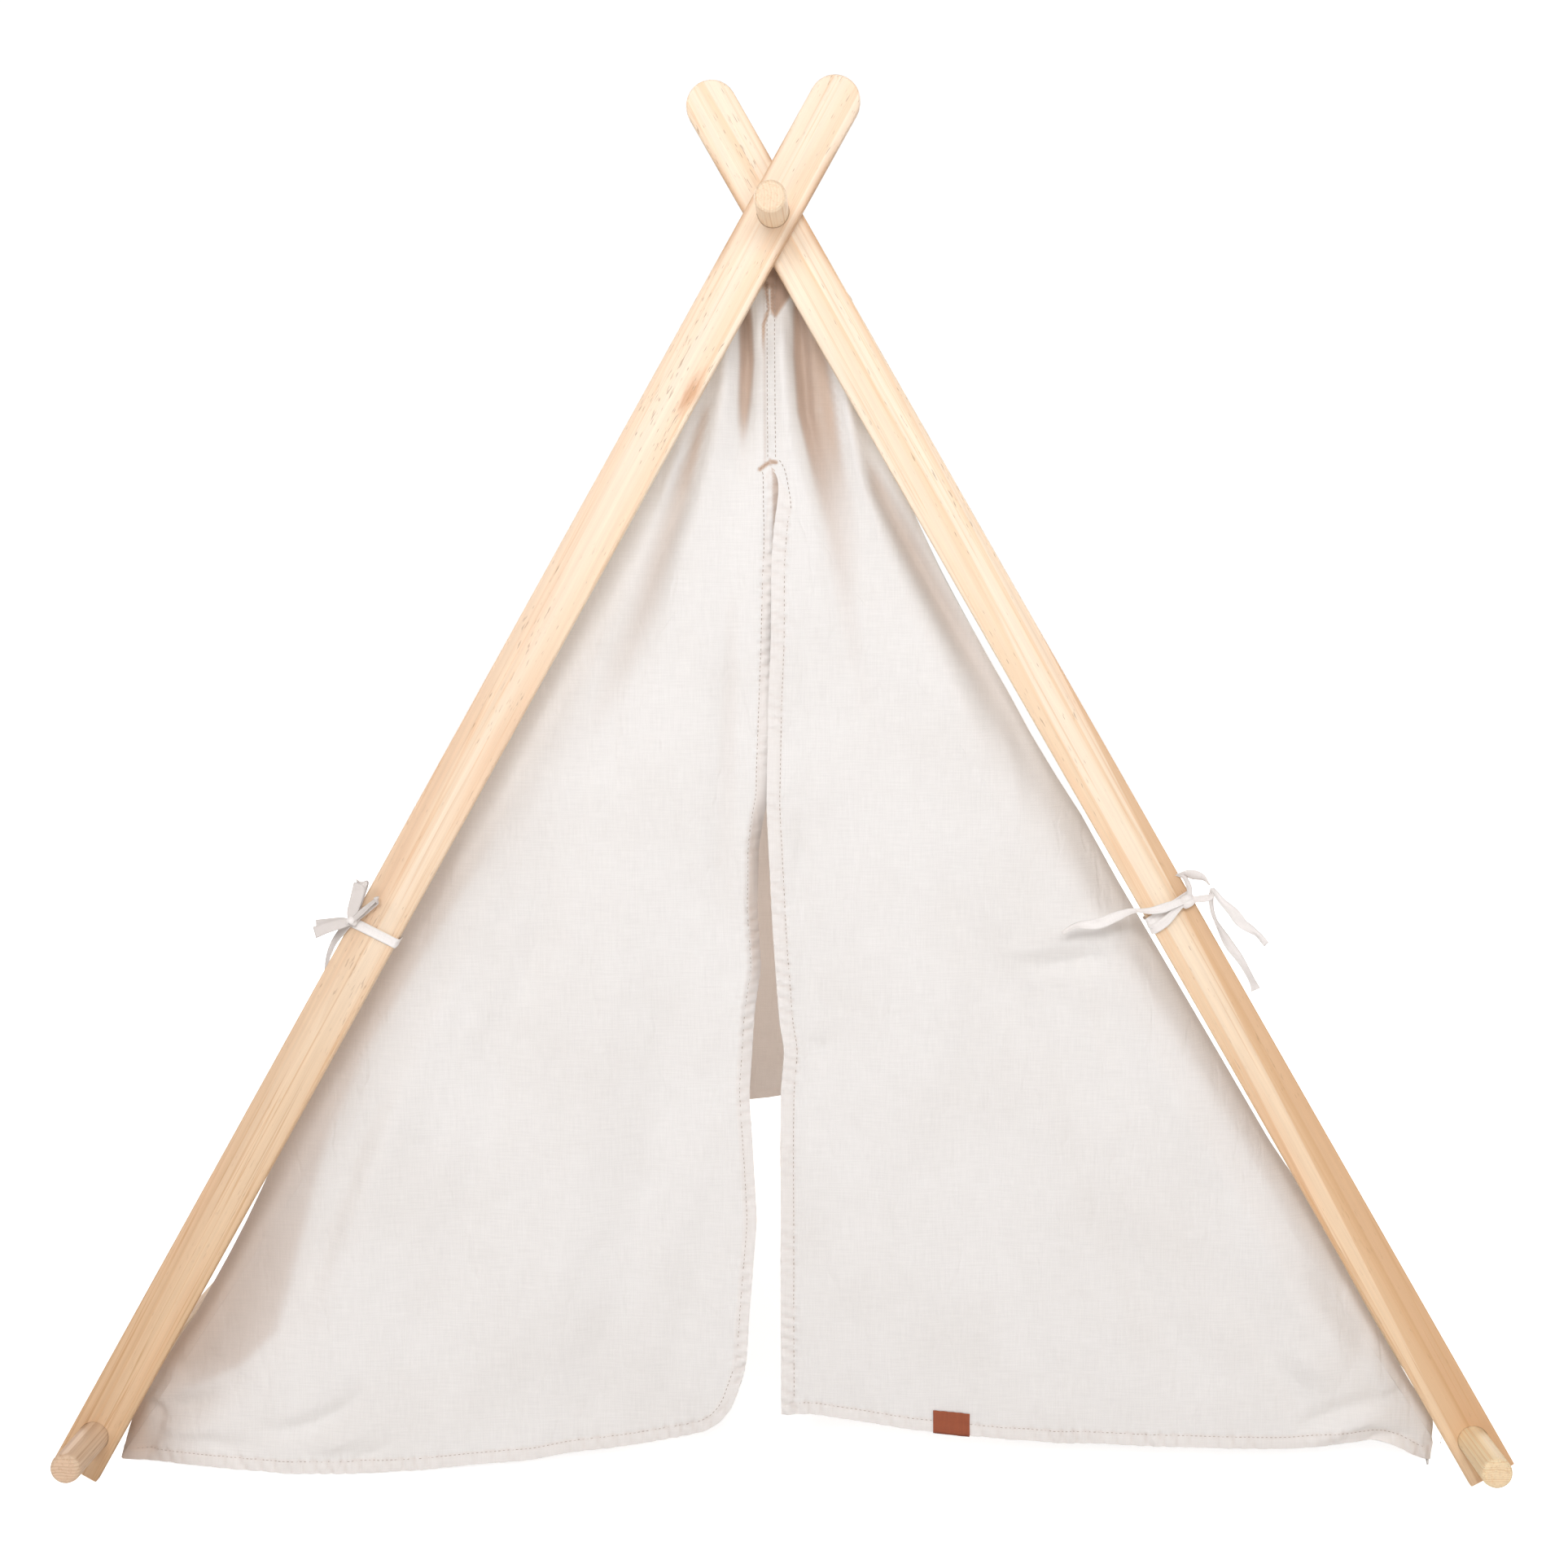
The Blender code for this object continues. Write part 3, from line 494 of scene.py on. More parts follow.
def front_forward(side, x, z):
    """How far the front gable's cloth stands forward of its plane."""
    slit_top, corner = HINGE[side]
    drop, offset = to_leg(side, x, z)
    to_edge = np.maximum(cover_offset(side, drop) - offset, 0)
    to_line = line_distance(x, z, ((SEAM_X, ABOVE_RIDGE), slit_top, corner))
    on_flap = in_flap(side, x, z)
    share = np.where(on_flap, 0.0, to_line / np.maximum(to_line + to_edge, 1e-6))
    back = along(EDGE_BACK[side], drop) * turned_back(share)
    total = np.zeros(np.shape(x))
    for points in FRONT_FOLDS:
        total += fold(x, z, points)
    total += 0.0012 * ripple(x, z, 0.055, 3.0 + side) + 0.0005 * ripple(x, z, 0.021, 8.0 + side)
    total += 0.0015 * crinkles(x, z, 31.0 + side)
    to_fold_line = line_distance(x, z, (slit_top, corner))
    free = smooth_step(to_fold_line / 0.026)
    total = (total * free + np.clip(total, -0.003, 0.003) * (1 - free)) * smooth_step(to_edge / 0.012)
    rise = np.clip((z - along(HEM[side], x, EASE)) / 0.42, 0, 1)
    billow = along(BILLOW[side], x) * (1 - rise) ** 2.4 * smooth_step(to_fold_line / 0.05)
    total += np.where(on_flap, billow, 0.0)
    flap_share = np.where(on_flap, smooth_step(to_fold_line / 0.012), 0.0)
    from_slit = slit_distance(side, x, z)
    beside, below = hem_gathers(side, x, z)
    total += beside * flap_share * smooth_step((SLIT_TOP - z) / 0.01)
    total += below * flap_share
    if side == LEFT:
        curl = smooth_step((z - 0.28) / 0.12) * smooth_step((SLIT_TOP - z) / 0.010)
        low_down = smooth_step((0.60 - z) / 0.08)
        high_up = smooth_step((z - 0.74) / 0.05)
        depth = 0.0026 + 0.0050 * low_down + 0.0024 * high_up
        total -= depth * np.clip(1 - from_slit / 0.012, 0, 1) ** 1.2 * curl * flap_share
    else:
        total += 0.0017 * np.clip(1 - from_slit / 0.022, 0, 1) * flap_share
    seam = np.exp(-(((x - (SEAM_X + 0.0006)) / LAP_HALF) ** 6)) * (z > SLIT_TOP)
    gather = np.sin(2 * math.pi * z / 0.0098 + 1.5 * np.sin(z / 0.03)) * 0.0006 + 0.0011
    total += seam * gather * smooth_step((z - SLIT_TOP) / 0.006)
    total -= 0.0008 * np.exp(-(((z - CHANNEL_HEIGHT) / 0.0015) ** 2)) * (z > 0.98)
    return total - back


def front_painted_shade(side, x, z):
    """Painted shade on the cloth, from 0 to DEEPEST: in its deep folds, round its edges where the legs shade
    it, in a shadow under the slats' crossing and by the seam.
    """
    drop, offset = to_leg(side, x, z)
    to_edge = np.maximum(cover_offset(side, drop) - offset, 0)
    # Painted shade in the deep folds: crisp high up, softer lower down
    deep = np.zeros(np.shape(x))
    for points in FRONT_FOLDS:
        deep += np.minimum(fold(x, z, points), 0)
    crisp = smooth_step((-deep - 0.0042) / 0.0065) * 1.5
    soft = np.clip((-deep - 0.0022) / 0.013, 0, 1)
    high_up = smooth_step((z - 0.80) / 0.08)
    lower = soft * (1 - high_up) * smooth_step((z - 0.42) / 0.25)
    shade = (crisp * high_up + lower) * smooth_step(to_edge / 0.006)
    # Painted shade along the outer edge, where the legs shade the cloth
    shade += 0.5 * np.exp(-((to_edge / 0.026) ** 1.5)) * share_along(EDGE_SHADE[side], drop)
    # Painted shadow in a wedge under the slats' crossing
    shadow_wedge = smooth_step((0.0125 - np.abs(x - 0.0005) - 0.62 * np.maximum(0.975 - z, 0)) / 0.004)
    shade += 2.9 * shadow_wedge * smooth_step((z - 0.952) / 0.008) * (x > SEAM_X)
    shade += 2.4 * shadow_wedge * smooth_step((z - 0.979) / 0.006) * (x <= SEAM_X)
    on_flap = in_flap(side, x, z)
    # On the left, painted shade: the shadow beside the fold, shade along the fold line low down, on the
    # turned-back hem strip, in the corner crease, on the flap seen through the doorway's eye, and a shadow
    # line at the open lap's edge
    if side == LEFT:
        in_shadow = smooth_step((along(SHADOW_EDGE, z) - x) / 0.014)
        in_shadow = in_shadow * smooth_step((z - 0.060) / 0.04) * smooth_step((0.60 - z) / 0.2)
        shade += 0.50 * in_shadow
        from_line = line_distance(x, z, HINGE[side])
        shade += 0.40 * np.exp(-((from_line / 0.045) ** 2)) * smooth_step((0.26 - z) / 0.14)
        strip = smooth_step((hem_width(side, z) - slit_distance(side, x, z)) / 0.002)
        strip = strip * smooth_step((z - 0.28) / 0.08) * smooth_step((0.80 - z) / 0.05)
        shade += (0.12 + 0.75 * np.exp(-(((z - 0.49) / 0.075) ** 4))) * strip * on_flap
        shade += 0.55 * np.exp(-((line_distance(x, z, CORNER_CREASE) / 0.014) ** 2))
        shade += 1.1 * smooth_step((x + 0.0034) / 0.0014) * smooth_step((z - 0.60) / 0.02) * on_flap
        lap_shadow = np.exp(-((line_distance(x, z, LAP_EDGE) / 0.0010) ** 2))
        shade += 2.6 * lap_shadow * smooth_step((z - 0.925) / 0.03)
    # Painted shade in the hollows of the hems' gathers
    beside, below = hem_gathers(side, x, z)
    shade += np.clip(-(beside + below) * on_flap / 0.0012, 0, 1) * 0.22
    # Painted shadow lines beside the lap above the doorway and along the tuck over the slit
    above = smooth_step((z - SLIT_TOP) / 0.004)
    shade += 0.45 * above * np.exp(-(((x - (SEAM_X - LAP_HALF + 0.0002)) / 0.0011) ** 2))
    shade += 3.2 * np.exp(-((line_distance(x, z, SLIT_TUCK) / 0.0012) ** 2))
    return np.clip(shade, 0, DEEPEST)


def rear_painted_shade(side, x, z):
    """Painted shade on the rear gable, by its outer edge."""
    drop, offset = to_leg(side, x, z)
    to_edge = np.maximum(cover_offset(side, drop) - offset, 0)
    return 0.5 * np.exp(-((to_edge / 0.030) ** 1.5)) * smooth_step((drop - 0.12) / 0.15)


def rear_forward(side, x, z):
    """How far the rear gable's cloth stands out of its plane, away from the tent."""
    drop, offset = to_leg(side, x, z)
    to_edge = np.maximum(cover_offset(side, drop) - offset, 0)
    share = np.abs(x) / np.maximum(np.abs(x) + to_edge, 1e-6)
    total = np.zeros(np.shape(x))
    wider, lower = REAR_STRETCH[side]
    for points in REAR_FOLDS:
        stretched = [(px * wider, pz - lower, forward, width) for px, pz, forward, width in points]
        total += fold(np.abs(x), z, stretched)
    total += 0.0014 * ripple(x, z, 0.06, 13.0)
    total *= smooth_step(to_edge / 0.012) * smooth_step(np.abs(x) / 0.012)
    hem = along(REAR_HEM, np.abs(x))
    total += puckers(x, z - hem, HEM_ROW, HEM_GATHER, 6.0)
    total += 0.0008 * np.exp(-((np.abs(x) / 0.008) ** 6)) * (1 + 0.5 * np.sin(2 * math.pi * z / 0.0105))
    return total - along(EDGE_BACK[side], drop) * turned_back(share)


# Cloth made over the gable's plane


def even_line(points, pitch):
    """A line of points resampled at an even pitch, with both ends kept."""
    points = np.array(points, float)
    lengths = np.hypot(*np.diff(points, axis=0).T)
    total = np.concatenate(([0], np.cumsum(lengths)))
    count = max(1, round(total[-1] / pitch))
    places = np.linspace(0, total[-1], count + 1)
    return [tuple(float(np.interp(p, total, points[:, k])) for k in (0, 1)) for p in places]


def inside_outline(x, z, outline):
    """Whether places lie within a closed outline, by the edges that a line across them crosses."""
    inside = np.zeros(len(x), bool)
    for (ax, az), (bx, bz) in zip(outline, outline[1:] + outline[:1]):
        crosses = (az > z) != (bz > z)
        if abs(bz - az) > 1e-12:
            inside ^= crosses & (x < (bx - ax) * (z - az) / (bz - az) + ax)
    return inside


def lattice(outline, pitch):
    """Places within an outline, in staggered rows."""
    xs, zs = zip(*outline)
    rows = []
    for i, z in enumerate(np.arange(min(zs), max(zs), pitch * 0.866)):
        row = np.arange(min(xs) - (i % 2) * pitch / 2, max(xs), pitch)
        rows.append(np.column_stack((row, np.full(len(row), z))))
    grid = np.concatenate(rows)
    return grid[inside_outline(grid[:, 0], grid[:, 1], outline)]


def object_of(name, mesh, material):
    """An object in the scene that shows a mesh in one material."""
    mesh.materials.append(material)
    obj = bpy.data.objects.new(name, mesh)
    bpy.context.scene.collection.objects.link(obj)
    return obj


def closed_object(name, bm, material):
    """An object of closed shells, their faces turned outward."""
    bmesh.ops.recalc_face_normals(bm, faces=bm.faces)
    mesh = bpy.data.meshes.new(name)
    bm.to_mesh(mesh)
    bm.free()
    mesh.shade_smooth()
    return object_of(name, mesh, material)


def thick_cloth(name, places, faces, points, thickness, material):
    """A closed sheet from a surface of points, thickened half to each side, with its flat pattern as UVs."""
    points = np.asarray(points)
    triangles = np.array(faces)
    first, second, third = (points[triangles[:, i]] for i in range(3))
    facing = np.cross(second - first, third - first)
    normals = np.zeros_like(points)
    for i in range(3):
        np.add.at(normals, triangles[:, i], facing)
    normals /= np.maximum(np.linalg.norm(normals, axis=1, keepdims=True), 1e-12)
    thickness = np.broadcast_to(thickness, len(points))[:, None]
    count = len(points)
    both = np.concatenate((points + normals * thickness / 2, points - normals * thickness / 2))
    sides = {}
    for a, b, c in faces:
        for edge in ((a, b), (b, c), (c, a)):
            sides[edge] = True
    rim = [(b, a, a + count, b + count) for a, b in sides if (b, a) not in sides]
    back = [(c + count, b + count, a + count) for a, b, c in faces]
    mesh = bpy.data.meshes.new(name)
    mesh.from_pydata([tuple(p) for p in both], [], [tuple(f) for f in faces] + back + rim)
    flat = np.concatenate((places, places))
    uv = mesh.uv_layers.new(name="cut")
    loops = np.empty(len(mesh.loops), np.int32)
    mesh.loops.foreach_get("vertex_index", loops)
    uv.data.foreach_set("uv", flat[loops].astype(np.float32).ravel())
    mesh.shade_smooth()
    rim_edges = {tuple(sorted(pair)) for b, a, c, d in rim for pair in ((a, b), (c, d))}
    sharp = mesh.attributes.new("sharp_edge", "BOOLEAN", "EDGE")
    sharp.data.foreach_set("value", [tuple(sorted(edge.vertices)) in rim_edges for edge in mesh.edges])
    return object_of(name, mesh, material)


# Triangle sizes of the gables' cloth: amid it, by the fine lines, and how far from those they reach
FLAP_SIZES = (0.0042, 0.0017, 0.015)
PANEL_SIZES = (0.0042, 0.0016, 0.036)
REAR_SIZES = (0.0056, 0.0032, 0.017)


def cut_cloth(name, edge, fine_lines, end, forward, painted_shade, hem_lines, sizes):
    """Cloth cut to an outline in the gable's plane and hung there: finer triangles by its fine lines."""
    pitch, fine_pitch, fine_reach = sizes
    coarse = lattice(edge, pitch)
    fine = lattice(edge, fine_pitch)

    def near(points):
        reach = np.full(len(points), 1e9)
        for line in fine_lines:
            reach = np.minimum(reach, line_distance(points[:, 0], points[:, 1], line))
        return reach

    coarse = coarse[near(coarse) > fine_reach]
    fine = fine[near(fine) <= fine_reach]
    inner = np.concatenate((coarse, fine))
    ring = edge + edge[:1]
    inner = inner[line_distance(inner[:, 0], inner[:, 1], ring) > 0.0013]
    coords = [Vector(p) for p in edge] + [Vector(p) for p in inner]
    boundary = [(i, (i + 1) % len(edge)) for i in range(len(edge))]
    found, _, faces, _, _, _ = geometry.delaunay_2d_cdt(coords, boundary, [list(range(len(edge)))], 1, 1e-7)
    flat = np.array([tuple(p) for p in found])
    turned = []
    for a, b, c in faces:
        (ax, az), (bx, bz), (cx, cz) = flat[a], flat[b], flat[c]
        area = (bx - ax) * (cz - az) - (cx - ax) * (bz - az)
        turned.append((a, b, c) if (area > 0) == (end == FRONT) else (a, c, b))
    x, z = flat[:, 0], flat[:, 1]
    depth = end * (GABLE_DEPTH + forward(x, z))
    in_hem = np.zeros(len(flat))
    for line in hem_lines:
        in_hem = np.maximum(in_hem, 1 - smooth_step((line_distance(x, z, line) - HEM_WIDTH) / 0.001))
    obj = thick_cloth(name, flat, turned, np.column_stack((x, depth, z)), CLOTH + 0.0007 * in_hem, COTTON)
    # The hem's mask, and the painted shade that the cloth's colour takes
    for label, values in (("hem", in_hem), ("painted_shade", painted_shade(x, z))):
        mask = obj.data.attributes.new(label, "FLOAT", "POINT")
        mask.data.foreach_set("value", np.concatenate((values, values)).astype(np.float32))
    return obj


# Stitches


def stitch_rows(name, runs):
    """Rows of short thread stitches. Each run is a line of (point, normal)."""
    bm = bmesh.new()
    for run in runs:
        points = np.array([p for p, _ in run], float)
        normals = np.array([n for _, n in run], float)
        lengths = np.linalg.norm(np.diff(points, axis=0), axis=1)
        total = np.concatenate(([0], np.cumsum(lengths)))

        def place(at):
            return (
                Vector([float(np.interp(at, total, points[:, i])) for i in range(3)]),
                Vector([float(np.interp(at, total, normals[:, i])) for i in range(3)]).normalized(),
            )

        at = STITCH_PITCH / 2
        while at + STITCH_LENGTH < total[-1]:
            (start, up), (end, _) = place(at), place(at + STITCH_LENGTH)
            middle = (start + end) / 2
            run_way = (end - start).normalized()
            across = run_way.cross(up) * THREAD / 2
            a, b = [bm.verts.new(p) for p in (start - up * THREAD * 0.4, end - up * THREAD * 0.4)]
            shoulder = run_way * STITCH_LENGTH * 0.28
            p0, p1, p2, q0, q1, q2 = [
                bm.verts.new(place_on + aside + up * THREAD * high)
                for place_on in (middle - shoulder, middle + shoulder)
                for aside, high in ((across, 0.1), (across * 0, 0.75), (-across, 0.1))
            ]
            for corners in (
                (a, p0, p1), (a, p1, p2), (p0, q0, q1, p1), (p1, q1, q2, p2), (b, q1, q0), (b, q2, q1)
            ):
                bm.faces.new(corners)
            at += STITCH_PITCH
    return closed_object(name, bm, STITCHING)


def stitch_line(points, end, forward):
    """A line in the gable's plane, laid on the cloth: (point, normal) pairs."""
    points = np.array(points)
    x, z = points[:, 0], points[:, 1]
    step = 0.0015
    here = forward(x, z)
    slope_x = (forward(x + step, z) - here) / step
    slope_z = (forward(x, z + step) - here) / step
    run = []
    for i in range(len(points)):
        normal = Vector((-slope_x[i], end, -slope_z[i])).normalized()
        point = Vector((x[i], end * (GABLE_DEPTH + here[i]), z[i]))
        run.append((point + normal * STITCH_LIFT, normal))
    return run


# Materials


def connect(tree, source, target):
    """Link a socket to an input, or set the input's own value."""
    if isinstance(source, bpy.types.NodeSocket):
        tree.links.new(source, target)
    else:
        target.default_value = source


def add_node(tree, kind, inputs=None, **settings):
    made = tree.nodes.new(kind)
    for key, value in settings.items():
        setattr(made, key, value)
    for key, value in (inputs or {}).items():
        connect(tree, value, made.inputs[key])
    return made


def maths(tree, operation, first, second=0.0, third=0.0):
    made = add_node(tree, "ShaderNodeMath", {0: first, 1: second, 2: third}, operation=operation)
    return made.outputs[0]


def vector_maths(tree, operation, first, second):
    return add_node(tree, "ShaderNodeVectorMath", {0: first, 1: second}, operation=operation).outputs[0]


def mapped(tree, vector, scale=(1, 1, 1), location=(0, 0, 0), rotation=(0, 0, 0)):
    places = {"Vector": vector, "Scale": scale, "Location": location, "Rotation": rotation}
    return add_node(tree, "ShaderNodeMapping", places).outputs[0]


def ramp(tree, value, stops, smooth=False):
    made = add_node(tree, "ShaderNodeValToRGB", {0: value})
    made.color_ramp.interpolation = "EASE" if smooth else "LINEAR"
    elements = made.color_ramp.elements
    while len(elements) < len(stops):
        elements.new(0.5)
    for element, (place, color) in zip(elements, stops):
        element.position = place
        element.color = (*color, 1) if isinstance(color, tuple) else (color, color, color, 1)
    return made.outputs[0]


def mix_color(tree, share, first, second, blend="MIX"):
    made = tree.nodes.new("ShaderNodeMix")
    made.data_type = "RGBA"
    made.blend_type = blend
    connect(tree, share, made.inputs[0])
    for value, target in ((first, made.inputs[6]), (second, made.inputs[7])):
        connect(tree, (*value, 1.0) if isinstance(value, tuple) else value, target)
    return made.outputs[2]


def tinted(tree, colour, tint):
    return mix_color(tree, 1.0, colour, tint, "MULTIPLY")


def noise_at(tree, vector, scale, detail=2.0, roughness=0.5, stretch=None):
    if stretch:
        vector = mapped(tree, vector, stretch)
    settings = {"Vector": vector, "Scale": scale, "Detail": detail, "Roughness": roughness}
    return add_node(tree, "ShaderNodeTexNoise", settings).outputs[0]


def new_group(name, inputs, outputs):
    """A shader group with a vector and named values to go in, and its input and output nodes."""
    group = bpy.data.node_groups.new(name, "ShaderNodeTree")
    group.interface.new_socket(name="Vector", in_out="INPUT", socket_type="NodeSocketVector")
    for direction, labels in (("INPUT", inputs), ("OUTPUT", outputs)):
        for label in labels:
            group.interface.new_socket(name=label, in_out=direction, socket_type="NodeSocketFloat")
    return group, group.nodes.new("NodeGroupInput").outputs, group.nodes.new("NodeGroupOutput").inputs


def use_group(tree, group, values):
    made = tree.nodes.new("ShaderNodeGroup")
    made.node_tree = group
    for label, value in values.items():
        connect(tree, value, made.inputs[label])
    return made.outputs


# One year's ring from its pale early wood to its dark late wood
RING_SECTION = ((0.0, 0.10), (0.30, 0.12), (0.60, 0.42), (0.82, 0.85), (0.90, 1.0), (0.96, 0.70), (1.0, 0.10))


def pine_group():
    """Pine sawn along its third coordinate: growth rings round a pith, streaks, and resin flecks."""
    tree, given, result = new_group(
        "pine_grain",
        ("Pith X", "Pith Y", "Ring pitch", "Late wood", "Flecks"),
        ("Ring", "Streak", "Fleck", "Height"),
    )
    at = given["Vector"]
    sway = {"Vector": mapped(tree, at, (9.0, 9.0, 1.1)), "Scale": 1.0, "Detail": 2.0, "Roughness": 0.45}
    bend = add_node(tree, "ShaderNodeTexNoise", sway).outputs[1]
    bend = vector_maths(tree, "SUBTRACT", bend, (0.5, 0.5, 0.5))
    bend = add_node(tree, "ShaderNodeVectorMath", {0: bend, "Scale": 0.009}, operation="SCALE").outputs[0]
    apart = add_node(tree, "ShaderNodeSeparateXYZ", {0: vector_maths(tree, "ADD", at, bend)}).outputs
    across_x = maths(tree, "SUBTRACT", apart[0], given["Pith X"])
    across_y = maths(tree, "SUBTRACT", apart[1], given["Pith Y"])
    squares = [maths(tree, "MULTIPLY", across, across) for across in (across_x, across_y)]
    radius = maths(tree, "SQRT", maths(tree, "ADD", *squares))
    spread = noise_at(tree, at, 1.0, 1.0, 0.5, (60.0, 60.0, 1.5))
    counted = maths(tree, "DIVIDE", radius, given["Ring pitch"])
    counted = maths(tree, "ADD", counted, maths(tree, "MULTIPLY", spread, 1.5))
    ring = ramp(tree, maths(tree, "FRACT", counted), RING_SECTION, True)
    year = {"W": maths(tree, "FLOOR", counted)}
    year = add_node(tree, "ShaderNodeTexWhiteNoise", year, noise_dimensions="1D").outputs[0]
    ring = maths(tree, "MULTIPLY", ring, maths(tree, "MULTIPLY_ADD", year, 0.65, 0.35))
    ring = maths(tree, "MULTIPLY", ring, given["Late wood"])
    streak = noise_at(tree, at, 1.0, 4.0, 0.6, (420.0, 420.0, 6.0))
    fine = noise_at(tree, at, 1.0, 3.0, 0.7, (1500.0, 1500.0, 34.0))
    clusters = noise_at(tree, at, 1.0, 2.0, 0.5, (55.0, 55.0, 9.0))
    canals = noise_at(tree, at, 1.0, 1.0, 0.4, (950.0, 950.0, 105.0))
    level = maths(tree, "MULTIPLY", ramp(tree, clusters, ((0.45, 0.0), (0.68, 1.0))), 0.105)
    level = maths(tree, "MULTIPLY_ADD", given["Flecks"], level, canals)
    fleck = ramp(tree, level, ((0.722, 0.0), (0.79, 1.0)))
    height = maths(tree, "MULTIPLY_ADD", fine, 0.35, maths(tree, "MULTIPLY", ring, 0.06))
    height = maths(tree, "SUBTRACT", height, maths(tree, "MULTIPLY", fleck, 0.6))
    streak = maths(tree, "MULTIPLY_ADD", fine, 0.35, maths(tree, "MULTIPLY", streak, 0.65))
    for label, value in (("Ring", ring), ("Streak", streak), ("Fleck", fleck), ("Height", height)):
        connect(tree, value, result[label])
    return tree


def weave_group():
    """Plain weave from a flat pattern in metres: crossing threads, slubs, and soft creases."""
    tree, given, result = new_group(
        "plain_weave", ("Thread pitch", "Creases"), ("Thread", "Slub", "Crease", "Height")
    )
    at = given["Vector"]
    apart = add_node(tree, "ShaderNodeSeparateXYZ", {0: at}).outputs
    turns = [maths(tree, "DIVIDE", apart[i], given["Thread pitch"]) for i in range(2)]
    sines = [maths(tree, "SINE", maths(tree, "MULTIPLY", turn, math.pi)) for turn in turns]
    waves = [maths(tree, "ABSOLUTE", sine) for sine in sines]
    counted = maths(tree, "ADD", maths(tree, "FLOOR", turns[0]), maths(tree, "FLOOR", turns[1]))
    parity = maths(tree, "FRACT", maths(tree, "MULTIPLY", counted, 0.5))
    over = maths(tree, "GREATER_THAN", parity, 0.25)
    warp = maths(tree, "MULTIPLY", waves[0], maths(tree, "MULTIPLY_ADD", over, 0.5, 0.5))
    weft = maths(tree, "MULTIPLY", waves[1], maths(tree, "MULTIPLY_ADD", over, -0.5, 1.0))
    thread = maths(tree, "MAXIMUM", warp, weft)
    slub_warp = noise_at(tree, at, 1.0, 2.0, 0.6, (900.0, 45.0, 1.0))
    slub_weft = noise_at(tree, at, 1.0, 2.0, 0.6, (45.0, 900.0, 1.0))
    slub = maths(tree, "MULTIPLY", maths(tree, "ADD", slub_warp, slub_weft), 0.5)
    crumple = noise_at(tree, at, 17.0, 4.0, 0.55, (1.0, 0.42, 1.0))
    crease = maths(tree, "ABSOLUTE", maths(tree, "SUBTRACT", crumple, 0.5))
    crease = maths(tree, "MULTIPLY", ramp(tree, crease, ((0.0, 1.0), (0.045, 0.0)), True), given["Creases"])
    height = maths(tree, "MULTIPLY_ADD", slub, 0.12, maths(tree, "MULTIPLY", thread, 0.05))
    height = maths(tree, "MULTIPLY_ADD", crease, -0.30, height)
    for label, value in (("Thread", thread), ("Slub", slub), ("Crease", crease), ("Height", height)):
        connect(tree, value, result[label])
    return tree


PINE = pine_group()
WEAVE = weave_group()


def new_material(name):
    made = bpy.data.materials.new(name)
    made.use_nodes = True
    return made, made.node_tree, made.node_tree.nodes["Principled BSDF"]


def dress(tree, shader, colour, roughness, height, strength, distance):
    """Give a shader its colour, its roughness and a bump from that height."""
    bump = add_node(tree, "ShaderNodeBump", {"Height": height, "Strength": strength, "Distance": distance})
    for source, label in ((colour, "Base Color"), (roughness, "Roughness"), (bump.outputs[0], "Normal")):
        connect(tree, source, shader.inputs[label])


POLE = 0
GOLDEN_TINT = (0.94, 0.86, 0.76)
BLUSH_TINT = (0.97, 0.86, 0.80)
# Tint of the painted shade on the slats' rounded edges
RIM_SHADE_TINT = (0.66, 0.46, 0.30)
KNOT_BROWN = (0.62, 0.31, 0.155)
FLECK_BROWN = (0.34, 0.19, 0.11)
SAWN_PALE, SAWN_LATE = (0.74, 0.45, 0.315), (0.50, 0.27, 0.17)


